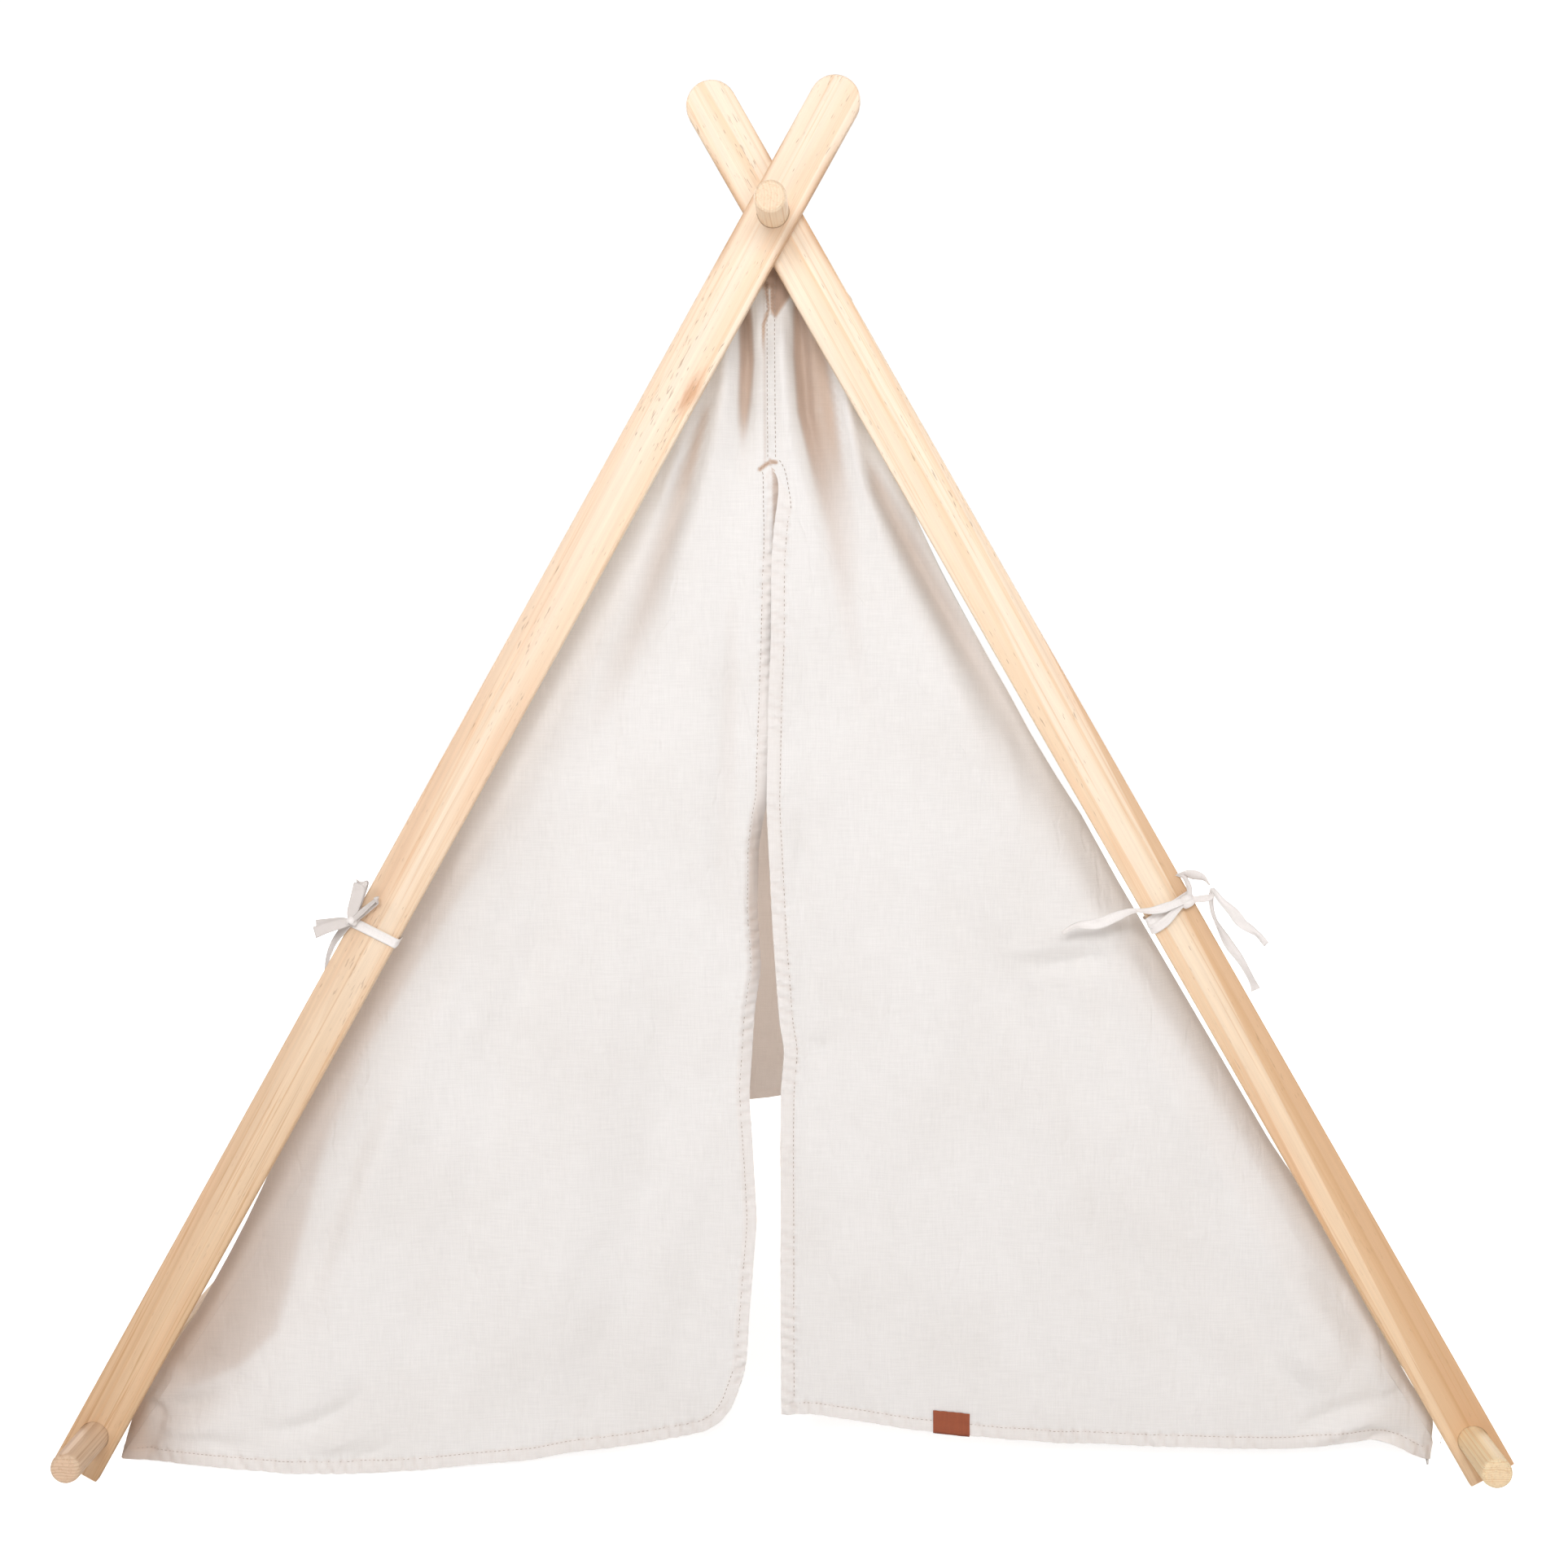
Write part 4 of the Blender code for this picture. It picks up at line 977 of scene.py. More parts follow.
def pine_finish(
    name, turn, pith, pitch, tones, late, flecks, height=0.0, end_places=(), drift=0.0, knot=None,
    edge_band=0.0,
):
    """Planed or turned pine with its grain along the piece; turn is a leg's side, or POLE.

    The tones are the pale and the late wood at the head, then at the foot. The end places say how much the
    sawn ends show and how far out they lie.
    """
    made, tree, shader = new_material(name)
    at = add_node(tree, "ShaderNodeTexCoord").outputs["Object"]
    if turn == POLE:
        grain_way = mapped(tree, at, location=(0.0, height, 0.0), rotation=(math.pi / 2, 0.0, 0.0))
    else:
        lean = turn * LEG_ANGLE
        shift = (-RIDGE_HEIGHT * math.sin(lean), 0.0, -RIDGE_HEIGHT * math.cos(lean))
        grain_way = mapped(tree, at, location=shift, rotation=(0.0, lean, 0.0))
        grain_way = mapped(tree, grain_way, rotation=(0.004, drift, 0.0))
    grown = {"Pith X": pith[0], "Pith Y": pith[1], "Ring pitch": pitch, "Late wood": late, "Flecks": flecks}
    grain = use_group(tree, PINE, {"Vector": grain_way, **grown})
    parts = add_node(tree, "ShaderNodeSeparateXYZ", {0: grain_way}).outputs
    pale_head, late_head, pale_foot, late_foot = tones
    if turn == POLE:
        pale = mix_color(tree, grain["Streak"], pale_head, pale_foot)
        dark = mix_color(tree, 0.5, late_head, late_foot)
    else:
        sway = noise_at(tree, grain_way, 1.0, 2.0, 0.5, (25.0, 25.0, 2.0))
        down = maths(tree, "MULTIPLY_ADD", parts[2], -0.8, maths(tree, "MULTIPLY_ADD", sway, 0.5, -0.25))
        down = ramp(tree, down, ((0.24, 0.0), (0.85, 1.0)), True)
        pale = mix_color(tree, down, pale_head, pale_foot)
        dark = mix_color(tree, down, late_head, late_foot)
    colour = mix_color(tree, grain["Ring"], pale, dark)
    golden = noise_at(tree, grain_way, 1.0, 1.0, 0.4, (300.0, 300.0, 2.6))
    golden = ramp(tree, golden, ((0.58, 0.0), (0.62, 1.0), (0.66, 0.1)))
    golden = maths(tree, "MULTIPLY", golden, 0.55)
    colour = mix_color(tree, golden, colour, tinted(tree, dark, GOLDEN_TINT))
    blush = noise_at(tree, grain_way, 1.0, 2.0, 0.5, (38.0, 38.0, 4.0))
    blush = ramp(tree, blush, ((0.50, 0.0), (0.72, 0.5)), True)
    colour = mix_color(tree, blush, colour, tinted(tree, colour, BLUSH_TINT))
    colour = tinted(tree, colour, ramp(tree, grain["Streak"], ((0.30, 0.90), (0.70, 1.06))))
    if edge_band:
        band = maths(tree, "MULTIPLY_ADD", parts[0], 25.0, maths(tree, "MULTIPLY", parts[2], -0.72))
        band = ramp(tree, maths(tree, "ADD", band, edge_band), ((0.50, 0.0), (0.53, 1.0)), True)
        colour = mix_color(tree, maths(tree, "MULTIPLY", band, 0.62), colour, late_foot)
    if knot:
        place = vector_maths(tree, "SUBTRACT", grain_way, knot)
        place = vector_maths(tree, "MULTIPLY", place, (80.0, 80.0, 26.0))
        close = add_node(tree, "ShaderNodeVectorMath", {0: place}, operation="LENGTH").outputs["Value"]
        ragged = noise_at(tree, grain_way, 1.0, 3.0, 0.6, (240.0, 240.0, 40.0))
        stain = maths(tree, "MULTIPLY_ADD", ragged, 0.9, maths(tree, "SUBTRACT", close, 0.45))
        stain = ramp(tree, stain, ((0.25, 0.75), (0.85, 0.0)), True)
        colour = mix_color(tree, stain, colour, KNOT_BROWN)
    fleck = maths(tree, "MULTIPLY", grain["Fleck"], 0.50)
    if turn != POLE:
        fleck = maths(tree, "MULTIPLY", fleck, maths(tree, "MULTIPLY_ADD", down, -0.65, 1.0))
    colour = mix_color(tree, fleck, colour, FLECK_BROWN)
    # Painted shade on the slats' rounded edges, strongest near the crossing, standing in for the shadow
    # between the slats
    if turn != POLE:
        rim = ramp(tree, maths(tree, "ABSOLUTE", parts[0]), ((0.0188, 0.0), (0.0196, 1.0)))
        crossing = ramp(tree, maths(tree, "ABSOLUTE", parts[2]), ((0.045, 0.75), (0.075, 0.2)))
        rim = maths(tree, "MULTIPLY", rim, crossing)
        colour = mix_color(tree, rim, colour, tinted(tree, colour, RIM_SHADE_TINT))
    if end_places:
        share, reach = end_places
        depth = add_node(tree, "ShaderNodeSeparateXYZ", {0: at}).outputs[1]
        end_face = maths(tree, "SUBTRACT", maths(tree, "ABSOLUTE", depth), reach - 0.0006 - 0.5)
        end_face = ramp(tree, end_face, ((0.5, 0.0), (0.5004, 1.0)))
        sawn = mix_color(tree, grain["Ring"], SAWN_PALE, SAWN_LATE)
        speck = noise_at(tree, at, 1400.0, 2.0, 0.6)
        sawn = tinted(tree, sawn, ramp(tree, speck, ((0.3, 0.86), (0.7, 1.08))))
        colour = mix_color(tree, maths(tree, "MULTIPLY", end_face, share), colour, sawn)
    roughness = ramp(tree, grain["Streak"], ((0.3, 0.50), (0.7, 0.64)))
    dress(tree, shader, colour, roughness, grain["Height"], 0.35, 0.0006)
    shader.inputs["Specular IOR Level"].default_value = 0.35
    return made


# How painted shade tints the cloth, from none to the deepest
PAINTED_SHADE_TINTS = (
    (0.0, (1.0, 1.0, 1.0)), (0.125, (0.87, 0.82, 0.79)), (0.25, (0.78, 0.69, 0.63)),
    (0.42, (0.75, 0.58, 0.47)), (1.0, (0.40, 0.26, 0.20)),
)
HEM_TONE = (0.86, 0.79, 0.74)
# Tone of the painted shade on the left bow's loops and tails
TAPE_SHADE_TONE = (0.73, 0.69, 0.66)
COTTON_ROUGH = 0.92


def cotton_finish(name, tones, pitch=0.00055, creases=1.0, hem=False, shaded_from=0.0):
    """Plain woven cotton, clouded from one tone to the other; with hem, it takes the hem's tone and the
    painted shade that its mesh carries; a tape takes painted shade from that length on.
    """
    made, tree, shader = new_material(name)
    cut = add_node(tree, "ShaderNodeUVMap", uv_map="cut").outputs[0]
    weave = use_group(tree, WEAVE, {"Vector": cut, "Thread pitch": pitch, "Creases": creases})
    cloud = noise_at(tree, cut, 7.0, 3.0, 0.55)
    colour = mix_color(tree, ramp(tree, cloud, ((0.35, 0.0), (0.70, 1.0)), True), *tones)
    colour = tinted(tree, colour, ramp(tree, weave["Slub"], ((0.35, 0.955), (0.65, 1.03))))
    colour = tinted(tree, colour, ramp(tree, weave["Thread"], ((0.2, 0.93), (0.9, 1.01))))
    # Painted shade on the tape from that length of run on, in blotches
    if shaded_from:
        run = add_node(tree, "ShaderNodeSeparateXYZ", {0: cut}).outputs[0]
        past = maths(tree, "MULTIPLY", maths(tree, "SUBTRACT", run, shaded_from), 60.0)
        shade_blotch = maths(tree, "MULTIPLY_ADD", noise_at(tree, cut, 90.0, 2.0, 0.5), 0.8, past)
        colour = mix_color(tree, ramp(tree, shade_blotch, ((0.35, 0.0), (0.75, 1.0))), colour, TAPE_SHADE_TONE)
    if hem:
        mask = add_node(tree, "ShaderNodeAttribute", attribute_name="hem").outputs["Fac"]
        colour = mix_color(tree, maths(tree, "MULTIPLY", mask, 0.22), colour, HEM_TONE)
        # Painted shade from the mesh: greyer, then browner, in the cloth's deep folds, round its edges, under
        # the crossing and by the seam
        deep = add_node(tree, "ShaderNodeAttribute", attribute_name="painted_shade").outputs["Fac"]
        deep = maths(tree, "MULTIPLY", deep, 1 / DEEPEST)
        colour = tinted(tree, colour, ramp(tree, deep, PAINTED_SHADE_TINTS))
    roughness = ramp(tree, weave["Slub"], ((0.3, COTTON_ROUGH - 0.06), (0.7, COTTON_ROUGH + 0.05)))
    dress(tree, shader, colour, roughness, weave["Height"], 0.6, 0.0022)
    shader.inputs["Sheen Weight"].default_value = 0.12
    shader.inputs["Sheen Roughness"].default_value = 0.6
    shader.inputs["Specular IOR Level"].default_value = 0.2
    return made


def thread_finish(name, tone, dark):
    """Spun sewing thread: its colour and height wind round it."""
    made, tree, shader = new_material(name)
    at = add_node(tree, "ShaderNodeTexCoord").outputs["Object"]
    ply = noise_at(tree, at, 2600.0, 1.0, 0.5)
    colour = mix_color(tree, ramp(tree, ply, ((0.4, 0.0), (0.6, 1.0))), tone, dark)
    dress(tree, shader, colour, ramp(tree, ply, ((0.3, 0.75), (0.7, 0.9))), ply, 0.5, 0.0001)
    return made


def label_finish():
    """Rust-brown woven tape."""
    made, tree, shader = new_material("label_weave")
    cut = add_node(tree, "ShaderNodeUVMap", uv_map="cut").outputs[0]
    weave = use_group(tree, WEAVE, {"Vector": cut, "Thread pitch": 0.0004, "Creases": 0.0})
    colour = mix_color(tree, weave["Thread"], (0.22, 0.052, 0.022), (0.40, 0.105, 0.045))
    colour = tinted(tree, colour, ramp(tree, weave["Slub"], ((0.35, 0.88), (0.65, 1.08))))
    roughness = ramp(tree, weave["Slub"], ((0.3, 0.70), (0.7, 0.82)))
    dress(tree, shader, colour, roughness, weave["Height"], 0.6, 0.002)
    return made


# Tones of the pale and the late wood, at the head and at the foot
LEG_TONES = ((0.95, 0.82, 0.66), (0.89, 0.66, 0.45), (0.79, 0.585, 0.385), (0.57, 0.32, 0.135))
PALE_LEG_TONES = ((0.955, 0.83, 0.665), (0.885, 0.66, 0.44), (0.89, 0.675, 0.455), (0.70, 0.44, 0.235))
POLE_TONES = ((0.98, 0.82, 0.62), (0.88, 0.64, 0.42), (0.93, 0.73, 0.52), (0.80, 0.56, 0.35))
DULL_TONES = ((0.84, 0.67, 0.49), (0.62, 0.42, 0.27), (0.72, 0.53, 0.37), (0.52, 0.33, 0.20))
LIGHT_TONES = ((0.97, 0.83, 0.58), (0.86, 0.62, 0.34), (0.92, 0.74, 0.47), (0.76, 0.50, 0.25))

pine = {
    "leg_front_left": pine_finish(
        "pine_front_left", LEFT, (-0.030, -OUTER_SLAT_DEPTH - 0.020), 0.0200, LEG_TONES, 0.85, 1.0,
        drift=0.016, knot=(0.010, -OUTER_SLAT_DEPTH, -0.155),
    ),
    "leg_front_right": pine_finish(
        "pine_front_right", RIGHT, (-0.036, -INNER_SLAT_DEPTH - 0.016), 0.0175, PALE_LEG_TONES, 0.90, 0.55,
        drift=-0.014, edge_band=-0.40,
    ),
    "leg_rear_left": pine_finish(
        "pine_rear_left", LEFT, (-0.040, OUTER_SLAT_DEPTH + 0.024), 0.0125, LEG_TONES, 0.90, 0.7,
        drift=-0.014,
    ),
    "leg_rear_right": pine_finish(
        "pine_rear_right", RIGHT, (0.034, INNER_SLAT_DEPTH + 0.018), 0.0120, LEG_TONES, 0.90, 0.8,
        drift=0.011,
    ),
    "ridge_pole": pine_finish(
        "pine_ridge_pole", POLE, (-0.030, 0.004), 0.0021, POLE_TONES, 0.6, 0.4,
        height=RIDGE_HEIGHT, end_places=(1.0, POLE_REACH),
    ),
    "base_pole_left": pine_finish(
        "pine_base_left", POLE, (-0.5727, 0.0394), 0.0026, DULL_TONES, 0.9, 0.4,
        end_places=(1.0, POLE_REACH),
    ),
    "base_pole_right": pine_finish(
        "pine_base_right", POLE, (0.578, 0.075), 0.0019, LIGHT_TONES, 1.0, 0.4,
        end_places=(0.8, POLE_REACH - 0.0123),
    ),
}
for name, finish in pine.items():
    node = frame["nodes"][name]
    for index in range(max(1, len(node.data.materials))):
        if node.material_slots:
            node.material_slots[index].material = finish
        else:
            node.data.materials.append(finish)

COTTON_TONES = ((0.865, 0.86, 0.845), (0.835, 0.825, 0.805))
TAPE_TONES = ((0.95, 0.93, 0.91), (0.86, 0.82, 0.79))
TAPE_PITCH = 0.0005
COTTON = cotton_finish("cotton_front", COTTON_TONES, hem=True)
COTTON_SIDE = cotton_finish("cotton_side", COTTON_TONES, creases=0.3)
TAPE = cotton_finish("cotton_tape", TAPE_TONES, TAPE_PITCH, 0.6)
# Tape with painted shade past its band, for the left bow
SHADED_TAPE = cotton_finish("cotton_tape_painted_shade", TAPE_TONES, TAPE_PITCH, 0.6, shaded_from=0.118)
STITCHING = thread_finish("thread", (0.50, 0.42, 0.36), (0.37, 0.30, 0.25))


# The front gable

OUT = {side: (side * COS, 0, SIN) for side in (LEFT, RIGHT)}


def crumples(piece):
    """Give a piece of the cover its own copy of its mesh."""
    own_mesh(piece)


def joined(*lines):
    """Lines of points joined into one closed outline."""
    whole = []
    for line in lines:
        whole += [p for p in line if not whole or math.dist(p, whole[-1]) > 1e-5]
    return whole[:-1] if math.dist(whole[0], whole[-1]) < 1e-5 else whole


def inset_line(line, away):
    """A line moved sideways, to the left of the way it runs."""
    points = np.array(line)
    way = np.gradient(points, axis=0)
    way /= np.linalg.norm(way, axis=1, keepdims=True)
    return [(float(p[0] - w[1] * away), float(p[1] + w[0] * away)) for p, w in zip(points, way)]


def declare(outline):
    """Work out the smallest rectangle of cloth that a sheet could be cut from; the size is not kept."""
    smallest = None
    for turn in range(0, 90, 2):
        c, s = math.cos(math.radians(turn)), math.sin(math.radians(turn))
        across, down = [x * c + z * s for x, z in outline], [z * c - x * s for x, z in outline]
        size = (max(across) - min(across), max(down) - min(down))
        if smallest is None or size[0] * size[1] < smallest[0] * smallest[1]:
            smallest = size


# The fold line leaves the cover's outer edge within this many places of the tip
NEAR_TIP = 150
for side in (LEFT, RIGHT):
    word = WORDS[side]
    slit_top, corner = HINGE[side]
    forward, painted_shade = partial(front_forward, side), partial(front_painted_shade, side)
    last_drop = drop_at(side, float(along(HEM[side], corner[0])))
    edge = [edge_point(side, drop) for drop in np.linspace(last_drop, drop_at(side, GABLE_TOP), 420)]
    tip = edge[0]
    # The fold line leaves the outer edge at the last place near the tip that isn't outward of it
    leaning = [(z - slit_top[1]) * (corner[0] - slit_top[0]) / (corner[1] - slit_top[1]) for x, z in edge]
    beyond = [side * (x - slit_top[0] - lean) for (x, z), lean in zip(edge, leaning)]
    split = max((i for i in range(NEAR_TIP) if beyond[i] < 0.0008), default=0)
    heights = np.linspace(SLIT_TOP, float(along(HEM[side], SLIT_EDGE[side][0][1] / MM)), 240)
    slit = [(float(along(SLIT_EDGE[side], z, EASE)), float(z)) for z in heights]
    slit[0] = slit_top
    hem = [(float(x), float(along(HEM[side], x, EASE))) for x in np.linspace(slit[-1][0], tip[0], 200)]
    hem[0] = slit[-1]
    hem[-1] = tip
    hinge = even_line((slit_top, edge[split]), 0.004)
    slit_line, hem_line = even_line(slit, 0.0024), even_line(hem, 0.0024)
    tip_line = even_line(edge[: split + 1], 0.003) if split else []
    outline = joined(slit_line, hem_line, tip_line, hinge[::-1])
    hems = (slit, hem)
    flap = cut_cloth(f"door_cloth_{word}", outline, hems, FRONT, forward, painted_shade, hems, FLAP_SIZES)
    slit_row = even_line(slit, 0.002)[2:-5]
    slit_row = [(x + side * float(hem_width(side, z)), z) for x, z in slit_row]
    if side == LEFT:
        slit_row = [(min(x, -0.0100) if z > 0.76 else x, z) for x, z in slit_row]
    else:
        slit_row = [(x, z) for x, z in slit_row if z < 0.803]
    hem_row = inset_line(even_line(hem, 0.002)[5:-5], side * HEM_ROW)
    rows = [stitch_line(slit_row, FRONT, forward), stitch_line(hem_row, FRONT, forward)]
    threads = stitch_rows(f"door_stitches_{word}", rows)
    for piece in (flap, threads):
        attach(piece, f"door_{word}")
        crumples(piece)
    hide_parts(f"door_flap_{word}")
    declare(outline)

    seam = even_line(((SEAM_X, GABLE_TOP), slit_top), 0.0024)
    outer = even_line(edge[split:], 0.004)
    outline = joined(seam, hinge, outer, even_line((outer[-1], (SEAM_X, GABLE_TOP)), 0.003))
    panel = cut_cloth(f"front_cloth_{word}", outline, (seam,), FRONT, forward, painted_shade, (), PANEL_SIZES)
    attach(panel, f"leaf_{word}")
    crumples(panel)
    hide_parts(f"front_panel_{word}")
    corner_edge = [p for p in edge if tip[1] + 0.007 < p[1] < 0.085]
    corner_row = inset_line(even_line(corner_edge, 0.002), -side * 0.008)
    threads = stitch_rows(f"corner_stitches_{word}", [stitch_line(corner_row, FRONT, forward)])
    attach(threads, f"leaf_{word}")
    crumples(threads)
    declare(outline)

# The rows beside the seam above the slit, and the arch that closes the slit's top

for side, row_x in ((LEFT, SEAM_X - 0.0022), (RIGHT, SEAM_X + 0.0040)):
    forward = partial(front_forward, side)
    seam_row = even_line(((row_x, CHANNEL_HEIGHT), (row_x, SLIT_TOP + 0.006)), 0.002)
    rows = [stitch_line(seam_row, FRONT, forward)]
    if side == RIGHT:
        rows.append(stitch_line(even_line(SLIT_ARCH, 0.002), FRONT, forward))
    threads = stitch_rows(f"seam_stitches_{WORDS[side]}", rows)
    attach(threads, f"leaf_{WORDS[side]}")
    crumples(threads)

# The rear gable

for side in (LEFT, RIGHT):
    word = WORDS[side]
    forward, painted_shade = partial(rear_forward, side), partial(rear_painted_shade, side)
    hem_end = drop_at(side, 0.0095)
    corner = edge_point(side, hem_end)
    hem = [(float(x), float(along(REAR_HEM, abs(x)))) for x in np.linspace(0, corner[0], 160)]
    hem[-1] = corner
    outer = [edge_point(side, drop) for drop in np.linspace(hem_end, drop_at(side, GABLE_TOP), 300)]
    seam = even_line(((0.0, GABLE_TOP), hem[0]), 0.003)
    top = even_line((outer[-1], (0.0, GABLE_TOP)), 0.003)
    outline = joined(seam, even_line(hem, 0.003), even_line(outer, 0.005), top)
    panel = cut_cloth(f"back_cloth_{word}", outline, (hem, seam), REAR, forward, painted_shade, (hem,), REAR_SIZES)
    hem_row = inset_line(even_line(hem, 0.002)[5:-5], side * HEM_ROW)
    seam_row = even_line(((side * 0.006, CHANNEL_HEIGHT), (side * 0.006, hem[0][1] + 0.014)), 0.002)
    rows = [stitch_line(hem_row, REAR, forward), stitch_line(seam_row, REAR, forward)]
    threads = stitch_rows(f"back_stitches_{word}", rows)
    for piece in (panel, threads):
        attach(piece, f"leaf_{word}")
        crumples(piece)
    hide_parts(f"back_panel_{word}")
    declare(outline)

# The sides and the sleeve


def side_outward(side, drop, y, last_drop):
    """How far outward of the leg's centreline the sloping side lies."""
    reach = GABLE_DEPTH - along(EDGE_BACK[side], drop)
    share = np.clip(np.abs(y) / reach, 0, 1)
    loose = smooth_step((drop - 0.30) / 0.45)
    sag = 0.0095 * (1 - share**2.4) * loose
    pull = 0.004 * np.exp(-(((drop - 0.64) / 0.10) ** 2)) * np.exp(-((1 - share) / 0.10))
    hang = 0.0
    for place, width, depth, start in SIDE_HANGS:
        drift = place + 0.03 * np.sin(drop * 3 + place * 20)
        hang = hang + depth / MM * np.exp(-(((y - drift) / width) ** 2)) * smooth_step((drop - start) / 0.4)
    creases = 0.0
    for end in (FRONT, REAR):
        for slope, depth in TIE_CREASES:
            run = reach - y * end
            line = (drop - CREASE_DROP) - slope * run
            across = np.exp(-((line / (0.006 + 0.06 * run)) ** 2))
            creases = creases + depth / MM * across * np.exp(-run / 0.09) * smooth_step(run / 0.012)
    gathers = puckers(y, last_drop - drop, HEM_WIDTH, 0.012, 2.0 + side)
    channel = -0.0009 * np.exp(-(((drop - CHANNEL_DROP) / 0.0016) ** 2))
    relief = (hang + creases) * smooth_step((1 - share) / 0.06) + channel
    return cover_offset(side, drop, share**8) - sag - pull * 0.4 + relief + gathers


for side in (LEFT, RIGHT):
    word = WORDS[side]
    last_drop = drop_at(side, 0.0075)
    head, middle = np.linspace(0.0, 0.10, 26), np.linspace(0.10, last_drop - 0.016, 150)
    drops = np.concatenate((head[:-1], middle[:-1], np.linspace(last_drop - 0.016, last_drop, 9)))
    shares = np.linspace(-1, 1, 167)
    points, flat, faces = [], [], []
    for drop in drops:
        reach = GABLE_DEPTH - float(along(EDGE_BACK[side], drop)) + 0.0003
        y = shares * reach
        level = np.full(len(y), drop)
        offset = side_outward(side, level, y, last_drop)
        waver = 0.0009 * ripple(y, level, 0.05, 21.0 + side) * smooth_step((drop - 0.05) / 0.1)
        offset = offset + waver * (1 - np.abs(shares) ** 6)
        for i in range(len(y)):
            points.append(leg_point(side, drop, float(offset[i]), float(y[i])))
            flat.append((float(y[i]), float(-drop)))
    wide = len(shares)
    for row in range(len(drops) - 1):
        for i in range(wide - 1):
            a = row * wide + i
            b, c, d = a + 1, a + wide + 1, a + wide
            corners = ((a, b, c), (a, c, d)) if side == LEFT else ((a, c, b), (a, d, c))
            faces += corners
    hem_share = np.repeat(1 - smooth_step((last_drop - drops - HEM_WIDTH) / 0.001), wide)
    points = np.array([tuple(p) for p in points])
    cover = thick_cloth(
        f"side_cover_{word}", np.array(flat), faces, points, CLOTH + 0.0006 * hem_share, COTTON_SIDE
    )
    rows = []
    normal = Vector(OUT[side])
    ys = np.linspace(-0.545, 0.545, 545)
    for place in (CHANNEL_DROP, last_drop - HEM_WIDTH):
        offsets = side_outward(side, np.full(len(ys), place), ys, last_drop)
        laid = [leg_point(side, place, float(offset), float(y)) for offset, y in zip(offsets, ys)]
        rows.append([(point + normal * 0.0010, normal) for point in laid])
    threads = stitch_rows(f"side_stitches_{word}", rows)
    for piece in (cover, threads):
        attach(piece, f"leaf_{word}")
    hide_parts(f"side_panel_{word}")

around, lengths = 40, np.linspace(-SLAT_INNER_FACE + 0.001, SLAT_INNER_FACE - 0.001, 190)
points, flat, faces = [], [], []
for y in lengths:
    for turn in range(around):
        angle = 2 * math.pi * turn / around
        swell = 0.00035 * noise.noise(Vector((y * 30, math.cos(angle) * 1.4, math.sin(angle) * 1.4)))
        radius = SLEEVE_RADIUS + swell
        points.append((radius * math.sin(angle), y, RIDGE_HEIGHT + radius * math.cos(angle)))
        flat.append((float(y), angle * 0.014))
for row in range(len(lengths) - 1):
    for i in range(around):
        a, b = row * around + i, row * around + (i + 1) % around
        c, d = b + around, a + around
        faces += [(a, c, b), (a, d, c)]
sleeve = thick_cloth("ridge_channel", np.array(flat), faces, np.array(points), 0.0008, COTTON_SIDE)
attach(sleeve, "ridge")
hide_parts("ridge_sleeve")

# The label

LABEL_LEFT, LABEL_WIDTH, LABEL_LENGTH = 0.1285, 0.0305, 0.040


def label_piece():
    """A blank woven tab, folded over the right flap's hem."""
    high = 0.0190
    rows = []
    for across in np.linspace(LABEL_LEFT, LABEL_LEFT + LABEL_WIDTH, 15):
        foot = float(along(HEM[RIGHT], across))
        section = []
        for way, heights in ((1, np.linspace(high, 0.0012, 8)), (-1, np.linspace(0.0012, high * 0.92, 8))):
            for up in heights:
                z = foot + up
                at = float(front_forward(RIGHT, np.array([across]), np.array([z]))[0])
                lift = 0.0014 + 0.0004 * math.sin(across * 900) * (up / high) ** 2
                section.append(Vector((across, -(GABLE_DEPTH + at) - way * lift, z)))
            if way == 1:
                section.append(Vector((across, section[-1].y + 0.0014, foot - 0.0010)))
        rows.append(section)
    points = np.array([tuple(p) for section in rows for p in section])
    count = len(rows[0])
    flat, faces = [], []
    for i in range(len(rows)):
        for j in range(count):
            flat.append((i * LABEL_WIDTH / 14, j * 2 * high / count))
    for i in range(len(rows) - 1):
        for j in range(count - 1):
            a = i * count + j
            b, c, d = a + count, a + count + 1, a + 1
            faces += [(a, c, b), (a, d, c)]
    return thick_cloth("label_tab", np.array(flat), faces, points, 0.0007, label_finish())


label = label_piece()
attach(label, "door_right")
crumples(label)
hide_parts("hem_label")

# Ties: tape as ribbons in the leg's own frame, (outward, forward, up the leg) from its centre at the tie

SLAT_FACE = SLAT_THICKNESS / 2


def smooth_route(points, steps=8):
    """A smooth line through all the points."""
    points = [Vector(p) for p in points]
    padded = [points[0] * 2 - points[1], *points, points[-1] * 2 - points[-2]]
    route = []
    for before, first, second, after in zip(padded, padded[1:], padded[2:], padded[3:]):
        for step in range(steps):
            t = step / steps
            curve = 2 * first + (second - before) * t + (2 * before - 5 * first + 4 * second - after) * t**2
            curve = curve + (3 * first - before - 3 * second + after) * t**3
            route.append(0.5 * curve)
    route.append(points[-1])
    return route


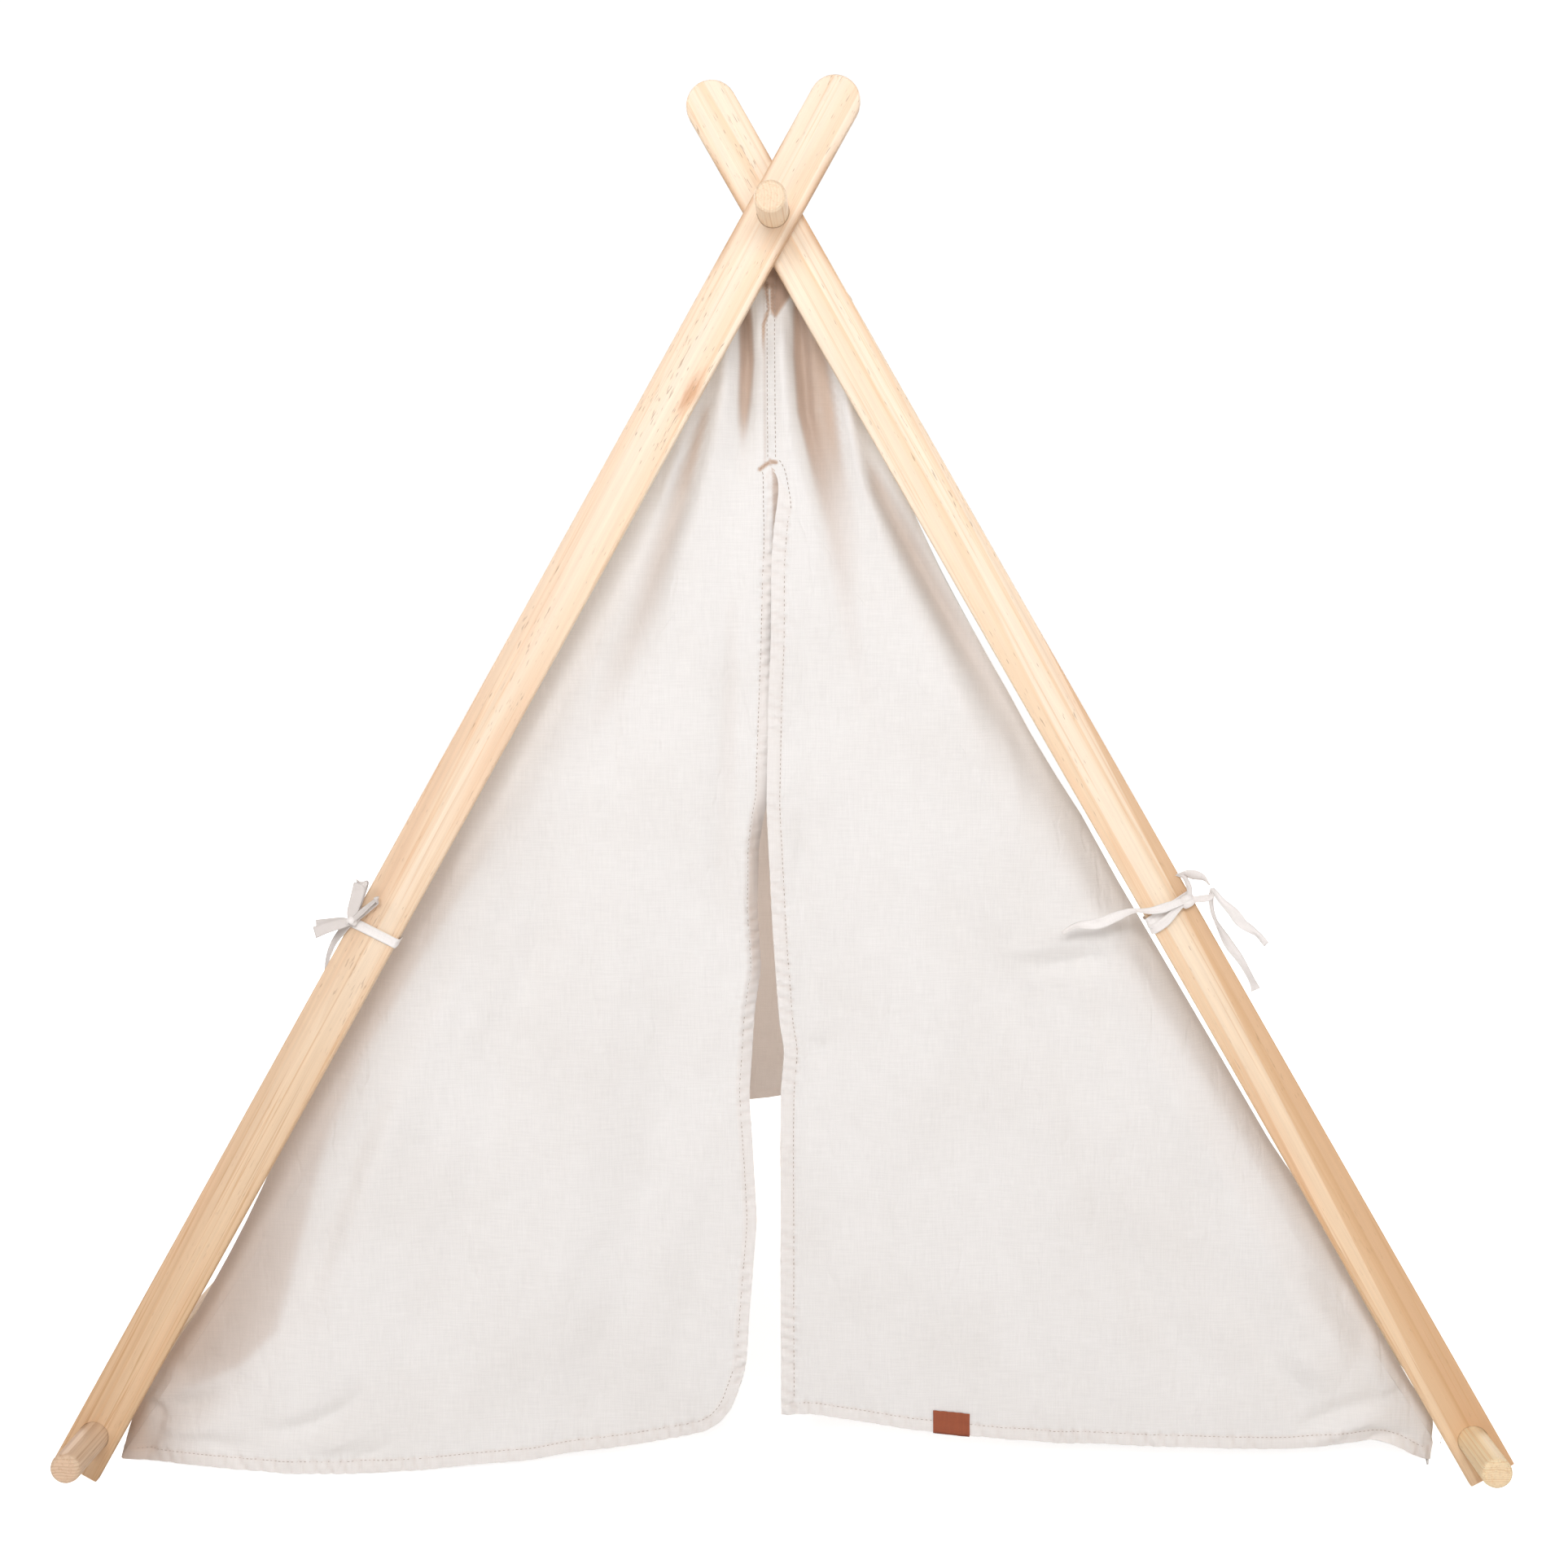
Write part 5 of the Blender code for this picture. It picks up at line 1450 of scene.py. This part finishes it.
def ribbon(bm, uv_layer, route, widths, facing, curl, closed=False, start=0.0):
    """A tape along a route; its width in millimetres, the way its face looks and its edges' curl
    go by share of the route.

    Returns how far its run has come and its area.
    """
    count = len(route)
    run, rings, area = start, [], 0.0
    across_steps = 6
    places, ways = zip(*facing)
    for i, point in enumerate(route):
        share = i / (count - 1)
        ahead = route[(i + 1) % (count - 1)] if closed else route[min(i + 1, count - 1)]
        behind = route[(i - 1) % (count - 1)] if closed else route[max(i - 1, 0)]
        way = (ahead - behind).normalized()
        face = Vector([float(np.interp(share, places, parts)) for parts in zip(*ways)])
        face = (face - way * face.dot(way)).normalized()
        wide = way.cross(face)
        half = float(np.interp(share, *zip(*widths))) / MM / 2
        roll = float(np.interp(share, *zip(*curl)))
        if i:
            run += (point - route[i - 1]).length
            area += (point - route[i - 1]).length * half * 2
        ring = []
        for layer in (1, -1):
            for j in range(across_steps + 1):
                s = (-1 + 2 * j / across_steps) * layer
                lump = 0.00022 * noise.noise(Vector((run * 260, s * 1.5, start * 40 + 3)))
                rise = roll * half * (s * s - 0.33) + lump
                edge = 1 - 0.6 * abs(s) ** 8
                aside = wide * half * s * (1 - 0.25 * abs(roll))
                lift = face * (rise + layer * TAPE_THICKNESS / 2 * edge)
                ring.append((point + aside + lift, (run, s * TAPE_WIDTH / 2)))
        rings.append([(bm.verts.new(p), uv) for p, uv in ring])
    size = len(rings[0])

    def skin(corners):
        quad = bm.faces.new([v for v, _ in corners])
        for loop, (_, uv) in zip(quad.loops, corners):
            loop[uv_layer].uv = uv

    for a, b in zip(rings, rings[1:]):
        for j in range(size):
            k = (j + 1) % size
            skin((a[j], a[k], b[k], b[j]))
    if not closed:
        skin(list(reversed(rings[0])))
        skin(rings[-1])
    return run, area


def tie_piece(name, side, end, strips, tape=TAPE):
    """One piece of tape strips at a leg's tie."""
    bm = bmesh.new()
    uv_layer = bm.loops.layers.uv.new("cut")
    length, area = 0.0, 0.0
    for strip in strips:
        length, covered = ribbon(bm, uv_layer, start=length, **strip)
        area += covered
    out, up = Vector(OUT[side]), Vector((-side * SIN, 0, COS))
    centre = leg_point(side, TIE_DROP[side], 0, end * SLAT_DEPTH[side])
    for vert in bm.verts:
        vert.co = centre + out * vert.co.x + Vector((0, end, 0)) * vert.co.y + up * vert.co.z
    obj = closed_object(name, bm, tape)
    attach(obj, f"leaf_{WORDS[side]}")
    return obj


def band_route(tilt):
    """Once round the slat: (outward, forward, up)."""
    lift, corner = 0.0013, 0.0022
    wide, deep = SLAT_WIDTH / 2 + lift, SLAT_FACE + lift
    loop = []
    for centre_x, centre_y, start in (
        (wide - corner, deep - corner, 0), (-wide + corner, deep - corner, 90),
        (-wide + corner, -deep + corner, 180), (wide - corner, -deep + corner, 270),
    ):
        for step in range(5):
            angle = math.radians(start + step * 22.5)
            loop.append((centre_x + corner * math.cos(angle), centre_y + corner * math.sin(angle)))
    dense = []
    for (ax, ay), (bx, by) in zip(loop, loop[1:] + loop[:1]):
        steps = max(1, round(math.dist((ax, ay), (bx, by)) / 0.003))
        dense += [(ax + (bx - ax) * s / steps, ay + (by - ay) * s / steps) for s in range(steps)]
    dense.append(dense[0])
    return [Vector((x, y, tilt * x)) for x, y in dense]


def band_facing(route):
    """The way that the band's face looks at each point of its route."""
    facing = []
    count = len(route) - 1
    for i, point in enumerate(route):
        outward = math.copysign(abs(point.x) > SLAT_WIDTH / 2 - 0.0008, point.x)
        forward = math.copysign(abs(point.y) > SLAT_FACE - 0.0008, point.y)
        facing.append((i / count, (outward, forward, 0)))
    return facing


def band_strip(tilt, widths, curl):
    """The band of tape round the slat."""
    route = band_route(tilt)
    return dict(route=route, widths=widths, facing=band_facing(route), curl=curl, closed=True)


def strip(knot, points, widths, facing, curl):
    """A loose strip of tape through points that are given in millimetres from the knot."""
    route = smooth_route([[at + step / MM for at, step in zip(knot, point)] for point in points])
    return dict(route=route, widths=widths, facing=facing, curl=curl)


def knot_strip(knot, size, turns=1.2):
    """The knot: tape wound tight over itself."""
    x, y, z = knot
    points, looks = [], []
    for step in range(int(turns * 12) + 1):
        angle = 2 * math.pi * step / 12
        lean = 0.3 * math.sin(angle / 2)
        out = 0.9 * math.cos(angle) + lean * 0.4
        up = 0.5 * math.sin(angle * 0.5 + 0.6) - 0.2
        points.append((x + size * out, y + size * 0.62 * math.sin(angle), z + size * up))
        looks.append((math.cos(angle), 1.4 * math.sin(angle), 0.25))
    facing = [(i / (len(points) - 1), look) for i, look in enumerate(looks)]
    widths = ((0, 6), (0.5, 7.5), (1, 6))
    return dict(route=smooth_route(points, 4), widths=widths, facing=facing, curl=((0, -0.4), (1, -0.4)))


# A loose strip's points are followed by its width, the way its face looks and its edges' curl, each by
# share of its length


def bow_strips():
    """The left tie: a band, and a flat bow at the slat's outer edge with two loops and two tails."""
    knot = (0.0185, SLAT_FACE + 0.0052, 0.0)
    band = band_strip(-0.05, ((0, 9), (0.3, 8.5), (1, 9)), ((0, 0.10), (0.2, 0.16), (0.5, 0.1), (1, 0.10)))
    loose = (
        (
            ((0, 0, 0), (3, 2, 7), (5.3, 3, 18), (8.3, 3.5, 31.5)),
            ((0, 6), (0.4, 9.5), (1, 11.2)),
            ((0, (0.2, 1, 0.2)), (0.5, (0.1, 1, 0)), (1, (-0.2, 1, 0.1))),
            ((0, 0.3), (1, 0.06)),
        ),
        (
            ((8.3, 3.5, 31.5), (7.5, 0.8, 32.2), (4.7, -1, 18), (2, -0.6, 6), (0, -1, 0)),
            ((0, 11.2), (0.5, 9.5), (1, 6)),
            ((0, (0, 1, 1)), (0.2, (0, -1, 0.2)), (1, (0, -1, 0))),
            ((0, 0.05), (1, 0.3)),
        ),
        (
            ((0, 1, 0), (-2.5, 4.5, 8), (-5.3, 5.5, 16.5), (-8.5, 4.5, 25.5)),
            ((0, 5), (0.5, 6.2), (1, 5.2)),
            ((0, (0.6, 1, 0.2)), (0.6, (0.8, 0.8, 0.1)), (1, (0.6, 0.4, 0.8))),
            ((0, 0.3), (1, 0.1)),
        ),
        (
            ((-8.5, 4.5, 25.5), (-9.9, 2.4, 26.8), (-9.7, 0.2, 24.5), (-5.7, -0.4, 13.5), (-1, 0, 1)),
            ((0, 5.2), (0.5, 6.2), (1, 5)),
            ((0, (-0.3, 0.5, 0.9)), (0.3, (-0.8, -0.5, 0.2)), (1, (-0.6, -0.9, 0))),
            ((0, 0.1), (1, 0.3)),
        ),
        (
            ((0, 0, 0), (6, 2, -5), (14, 3, -13), (22, 2, -22.5)),
            ((0, 5.5), (0.4, 8.5), (1, 10)),
            ((0, (0, 1, 0.3)), (1, (0.25, 1, 0.1))),
            ((0, 0.35), (1, 0.08)),
        ),
        (
            ((0, -1, -1), (6.5, -1, -3.5), (15, -0.4, -9.5), (24.5, -1.6, -17)),
            ((0, 5), (0.5, 7.2), (1, 8)),
            ((0, (0, 1, 0.5)), (1, (-0.2, 1, 0.6))),
            ((0, 0.35), (1, 0.15)),
        ),
        (
            ((0, -1, -1), (3, -4.5, -10), (5.5, -8.5, -23.5), (3.7, -9.5, -39), (-1, -12.5, -54)),
            ((0, 5), (0.3, 8.5), (1, 7.5)),
            ((0, (0.3, 1, 0.3)), (0.5, (0.8, 0.8, 0)), (1, (0.9, 0.5, 0))),
            ((0, 0.35), (0.5, 0.15), (1, 0.1)),
        ),
    )
    return [band, knot_strip(knot, 0.0042), *(strip(knot, *shape) for shape in loose)]


def knot_band_strips():
    """The right tie's band, drawn tight and crumpled, its knot, and the loop behind it."""
    knot = (0.0150, SLAT_FACE + 0.0050, 0.0005)
    band = band_strip(
        0.10, ((0, 7.5), (0.25, 10.5), (0.5, 9), (1, 7.5)), ((0, 0.15), (0.2, 0.28), (1, 0.15))
    )
    loose = (
        (
            ((0, 0, 0), (-11, 0.5, -2.7), (-23, -1, -7.3), (-33, -2.2, -8.3), (-37.2, -5.8, -7.7)),
            ((0, 5.5), (0.4, 7.8), (1, 9)),
            ((0, (0, 1, 0.4)), (0.6, (0.1, 1, 0.1)), (1, (-0.9, 0.6, 0))),
            ((0, 0.4), (0.5, 0.25), (1, 0.1)),
        ),
        (
            ((1, 0, 0), (5.5, 0.5, 6), (7, -2.2, 16), (3, -5, 20.5)),
            ((0, 5), (0.5, 6.5), (1, 6)),
            ((0, (0.5, 1, 0)), (1, (0.9, 0.3, 0.4))),
            ((0, 0.4), (1, 0.2)),
        ),
        (
            ((3, -5, 20.5), (11, -5.2, 17), (19.5, -4.5, 8.5), (22.2, -3, 0.5)),
            ((0, 6), (0.5, 9.5), (1, 6)),
            ((0, (0.4, -0.4, 0.9)), (0.5, (0.4, -0.9, 0.2)), (1, (0.9, 0.2, 0.2))),
            ((0, 0.1), (1, 0.35)),
        ),
        (
            ((0, 0, -0.5), (9, 0.6, -4.5), (17.5, 0.4, -7.3), (22.2, -0.4, -2)),
            ((0, 5.5), (0.5, 6.6), (1, 4.8)),
            ((0, (0, 1, 0.3)), (1, (0.5, 0.9, 0))),
            ((0, 0.4), (1, 0.5)),
        ),
    )
    return [band, knot_strip(knot, 0.0046, 1.5), *(strip(knot, *shape) for shape in loose)]


def drawn_in(strips):
    """The same tapes hanging down the slat's face, not outside it."""
    start, kept = 0.006, 0.15
    for tape in strips:
        for point in tape["route"]:
            if point.x > start:
                point.x = start + (point.x - start) * kept
                point.y = max(point.y, SLAT_FACE + 0.0018)
    return strips


def loose_tail_strips():
    """The right tie's tails: a long twisted one over the cloth, and two that hang outside the leg."""
    knot = (0.0150, SLAT_FACE + 0.0052, 0.0)
    loose = (
        (
            (
                (0, 0, 0), (-13, 2.2, 3), (-28.5, 3, 6.8), (-42.5, 2.6, 14.5), (-56, 1.8, 17),
                (-71, 0.6, 19), (-87, -1.2, 25.5), (-100, -2.6, 26.2),
            ),
            ((0, 5.5), (0.2, 8.5), (0.38, 5), (0.52, 7.8), (0.7, 9.5), (0.86, 6.2), (1, 3)),
            (
                (0, (0, 1, 0.6)), (0.2, (0, 1, 0.1)), (0.38, (0, 0.5, 1)), (0.55, (0, 1, 0.4)),
                (0.72, (0, 1, -0.1)), (0.88, (0, 0.5, 0.9)), (1, (0, 1, 0.3)),
            ),
            ((0, 0.5), (0.3, 0.35), (0.6, 0.25), (1, 0.5)),
        ),
        (
            (
                (21.5, -0.8, -2), (23.5, 0.2, -14.5), (27, 0, -26), (29.5, -1.2, -39), (35, -2.2, -52),
                (38, -3, -64),
            ),
            ((0, 5.5), (0.25, 7), (0.5, 9.8), (0.75, 7.2), (1, 5.5)),
            (
                (0, (0.7, 0.7, 0)), (0.3, (0.2, 1, 0.2)), (0.6, (-0.2, 1, 0)), (0.8, (0.7, 0.7, 0.1)),
                (1, (0.1, 1, 0)),
            ),
            ((0, 0.5), (0.5, 0.2), (1, 0.45)),
        ),
        (
            (
                (19.5, -1.4, -4), (13.5, -0.8, -16), (11.2, -2, -30), (11.8, -4.8, -48), (14, -6.2, -67),
                (13.5, -5.8, -86), (12.5, -5.4, -93),
            ),
            ((0, 5.2), (0.2, 6.4), (0.45, 9.5), (0.7, 7.4), (1, 8.8)),
            (
                (0, (0.5, 0.8, 0)), (0.3, (0.9, 0.4, 0)), (0.55, (0.3, 1, 0)), (0.8, (0.7, 0.7, 0)),
                (1, (0.3, 1, 0)),
            ),
            ((0, 0.5), (0.5, 0.2), (1, 0.15)),
        ),
    )
    return [strip(knot, *shape) for shape in loose]


for end, word in ((FRONT, "front"), (REAR, "rear")):
    knot_strips, tail_strips = knot_band_strips(), loose_tail_strips()
    if end == REAR:
        knot_strips[1:], tail_strips = drawn_in(knot_strips[1:]), drawn_in(tail_strips)
    # The left bow's loops and tails carry painted shade
    bow = tie_piece(f"bow_tie_{word}_left", LEFT, end, bow_strips(), SHADED_TAPE)
    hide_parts(f"tie_{word}_left")
    knot = tie_piece(f"knot_tie_{word}_right", RIGHT, end, knot_strips)
    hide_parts(f"tie_{word}_right")
    tails = tie_piece(f"tie_tails_{word}_right", RIGHT, end, tail_strips)
    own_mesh(tails)

# Floor, light and camera


def floor_finish():
    """Matt white studio floor, lit up for the camera so that it runs into the backdrop."""
    made, tree, shader = new_material("studio_floor")
    at = add_node(tree, "ShaderNodeTexCoord").outputs["Object"]
    mottle = noise_at(tree, at, 3.0, 3.0, 0.5)
    connect(tree, ramp(tree, mottle, ((0.3, 0.88), (0.7, 0.90))), shader.inputs["Base Color"])
    shader.inputs["Roughness"].default_value = 0.95
    shader.inputs["Emission Color"].default_value = (1, 1, 1, 1)
    seen = add_node(tree, "ShaderNodeLightPath").outputs["Is Camera Ray"]
    connect(tree, maths(tree, "MULTIPLY", seen, 0.86), shader.inputs["Emission Strength"])
    return made


bpy.ops.mesh.primitive_plane_add(size=60, location=(0, 0, 0))
floor = bpy.context.object
floor.name = "studio_floor"
floor.data.materials.append(floor_finish())

world = bpy.data.worlds.new("studio")
bpy.context.scene.world = world
world.use_nodes = True
tree = world.node_tree
background = tree.nodes["Background"]
seen = add_node(tree, "ShaderNodeLightPath").outputs["Is Camera Ray"]
backdrop = add_node(tree, "ShaderNodeBackground", {"Color": (1, 1, 1, 1), "Strength": 1.05})
background.inputs["Color"].default_value = (1.0, 0.80, 0.70, 1)
background.inputs["Strength"].default_value = 0.24
either = add_node(tree, "ShaderNodeMixShader", {0: seen, 1: background.outputs[0], 2: backdrop.outputs[0]})
tree.links.new(either.outputs[0], tree.nodes["World Output"].inputs["Surface"])


DAYLIGHT = (0.98, 0.985, 1.0)


def soft_light(name, place, aim, size, power, color=DAYLIGHT):
    lamp = bpy.data.lights.new(name, "AREA")
    lamp.shape = "RECTANGLE"
    lamp.size, lamp.size_y = size
    lamp.energy = power
    lamp.color = color
    holder = bpy.data.objects.new(name, lamp)
    bpy.context.scene.collection.objects.link(holder)
    holder.location = place
    holder.rotation_euler = (Vector(aim) - Vector(place)).to_track_quat("-Z", "Y").to_euler()
    return holder


soft_light("soft_box_left", (-2.3, -2.3, 1.9), (0, -0.6, 0.6), (1.6, 1.6), 23)
soft_light("soft_box_right", (2.3, -2.3, 1.9), (0, -0.6, 0.6), (1.6, 1.6), 21)
soft_light("soft_box_front", (-0.1, -3.6, 1.9), (0, -0.6, 0.6), (1.6, 0.9), 53)
soft_light("soft_box_rear_left", (-2.2, 2.5, 1.9), (0, 0.3, 0.5), (1.6, 1.6), 56)
soft_light("soft_box_rear_right", (2.2, 2.5, 1.9), (0, 0.3, 0.5), (1.6, 1.6), 56)
THROUGH_CLOTH = (1.0, 0.81, 0.70)
inside = soft_light(
    "light_through_the_cloth", (0, 0.05, 0.29), (0, 0.6, 0.31), (0.010, 0.28), 1.18, THROUGH_CLOTH
)
inside.visible_camera = False

# The photograph's camera, as fitted to the frame: its turns, its place before the front slats, and its lens
PHOTO_PIXELS, FOCAL_PIXELS, SENSOR = 1926, 2550.3, 36
CAMERA_X, CAMERA_AWAY, CAMERA_HEIGHT = 0.0548, 1.6568, 0.7447
yaw, pitch, roll = math.radians(-1.6659), math.radians(5.4675), math.radians(0.257)
ahead = Vector((math.sin(yaw) * math.cos(pitch), math.cos(yaw) * math.cos(pitch), -math.sin(pitch)))
up = Vector((math.sin(yaw) * math.sin(pitch), math.cos(yaw) * math.sin(pitch), math.cos(pitch)))
right = Vector((math.cos(yaw), -math.sin(yaw), 0))
turned_right = right * math.cos(roll) - up * math.sin(roll)
turned_up = right * math.sin(roll) + up * math.cos(roll)
lens = bpy.data.cameras.new("camera")
lens.lens, lens.sensor_width = FOCAL_PIXELS / PHOTO_PIXELS * SENSOR, SENSOR
camera = bpy.data.objects.new("camera", lens)
bpy.context.scene.collection.objects.link(camera)
camera_place = Matrix.Translation((CAMERA_X, -OUTER_SLAT_DEPTH - SLAT_FACE - CAMERA_AWAY, CAMERA_HEIGHT))
camera.matrix_world = camera_place @ Matrix((turned_right, turned_up, -ahead)).transposed().to_4x4()
bpy.context.scene.camera = camera
bpy.context.scene.view_settings.view_transform = "Standard"
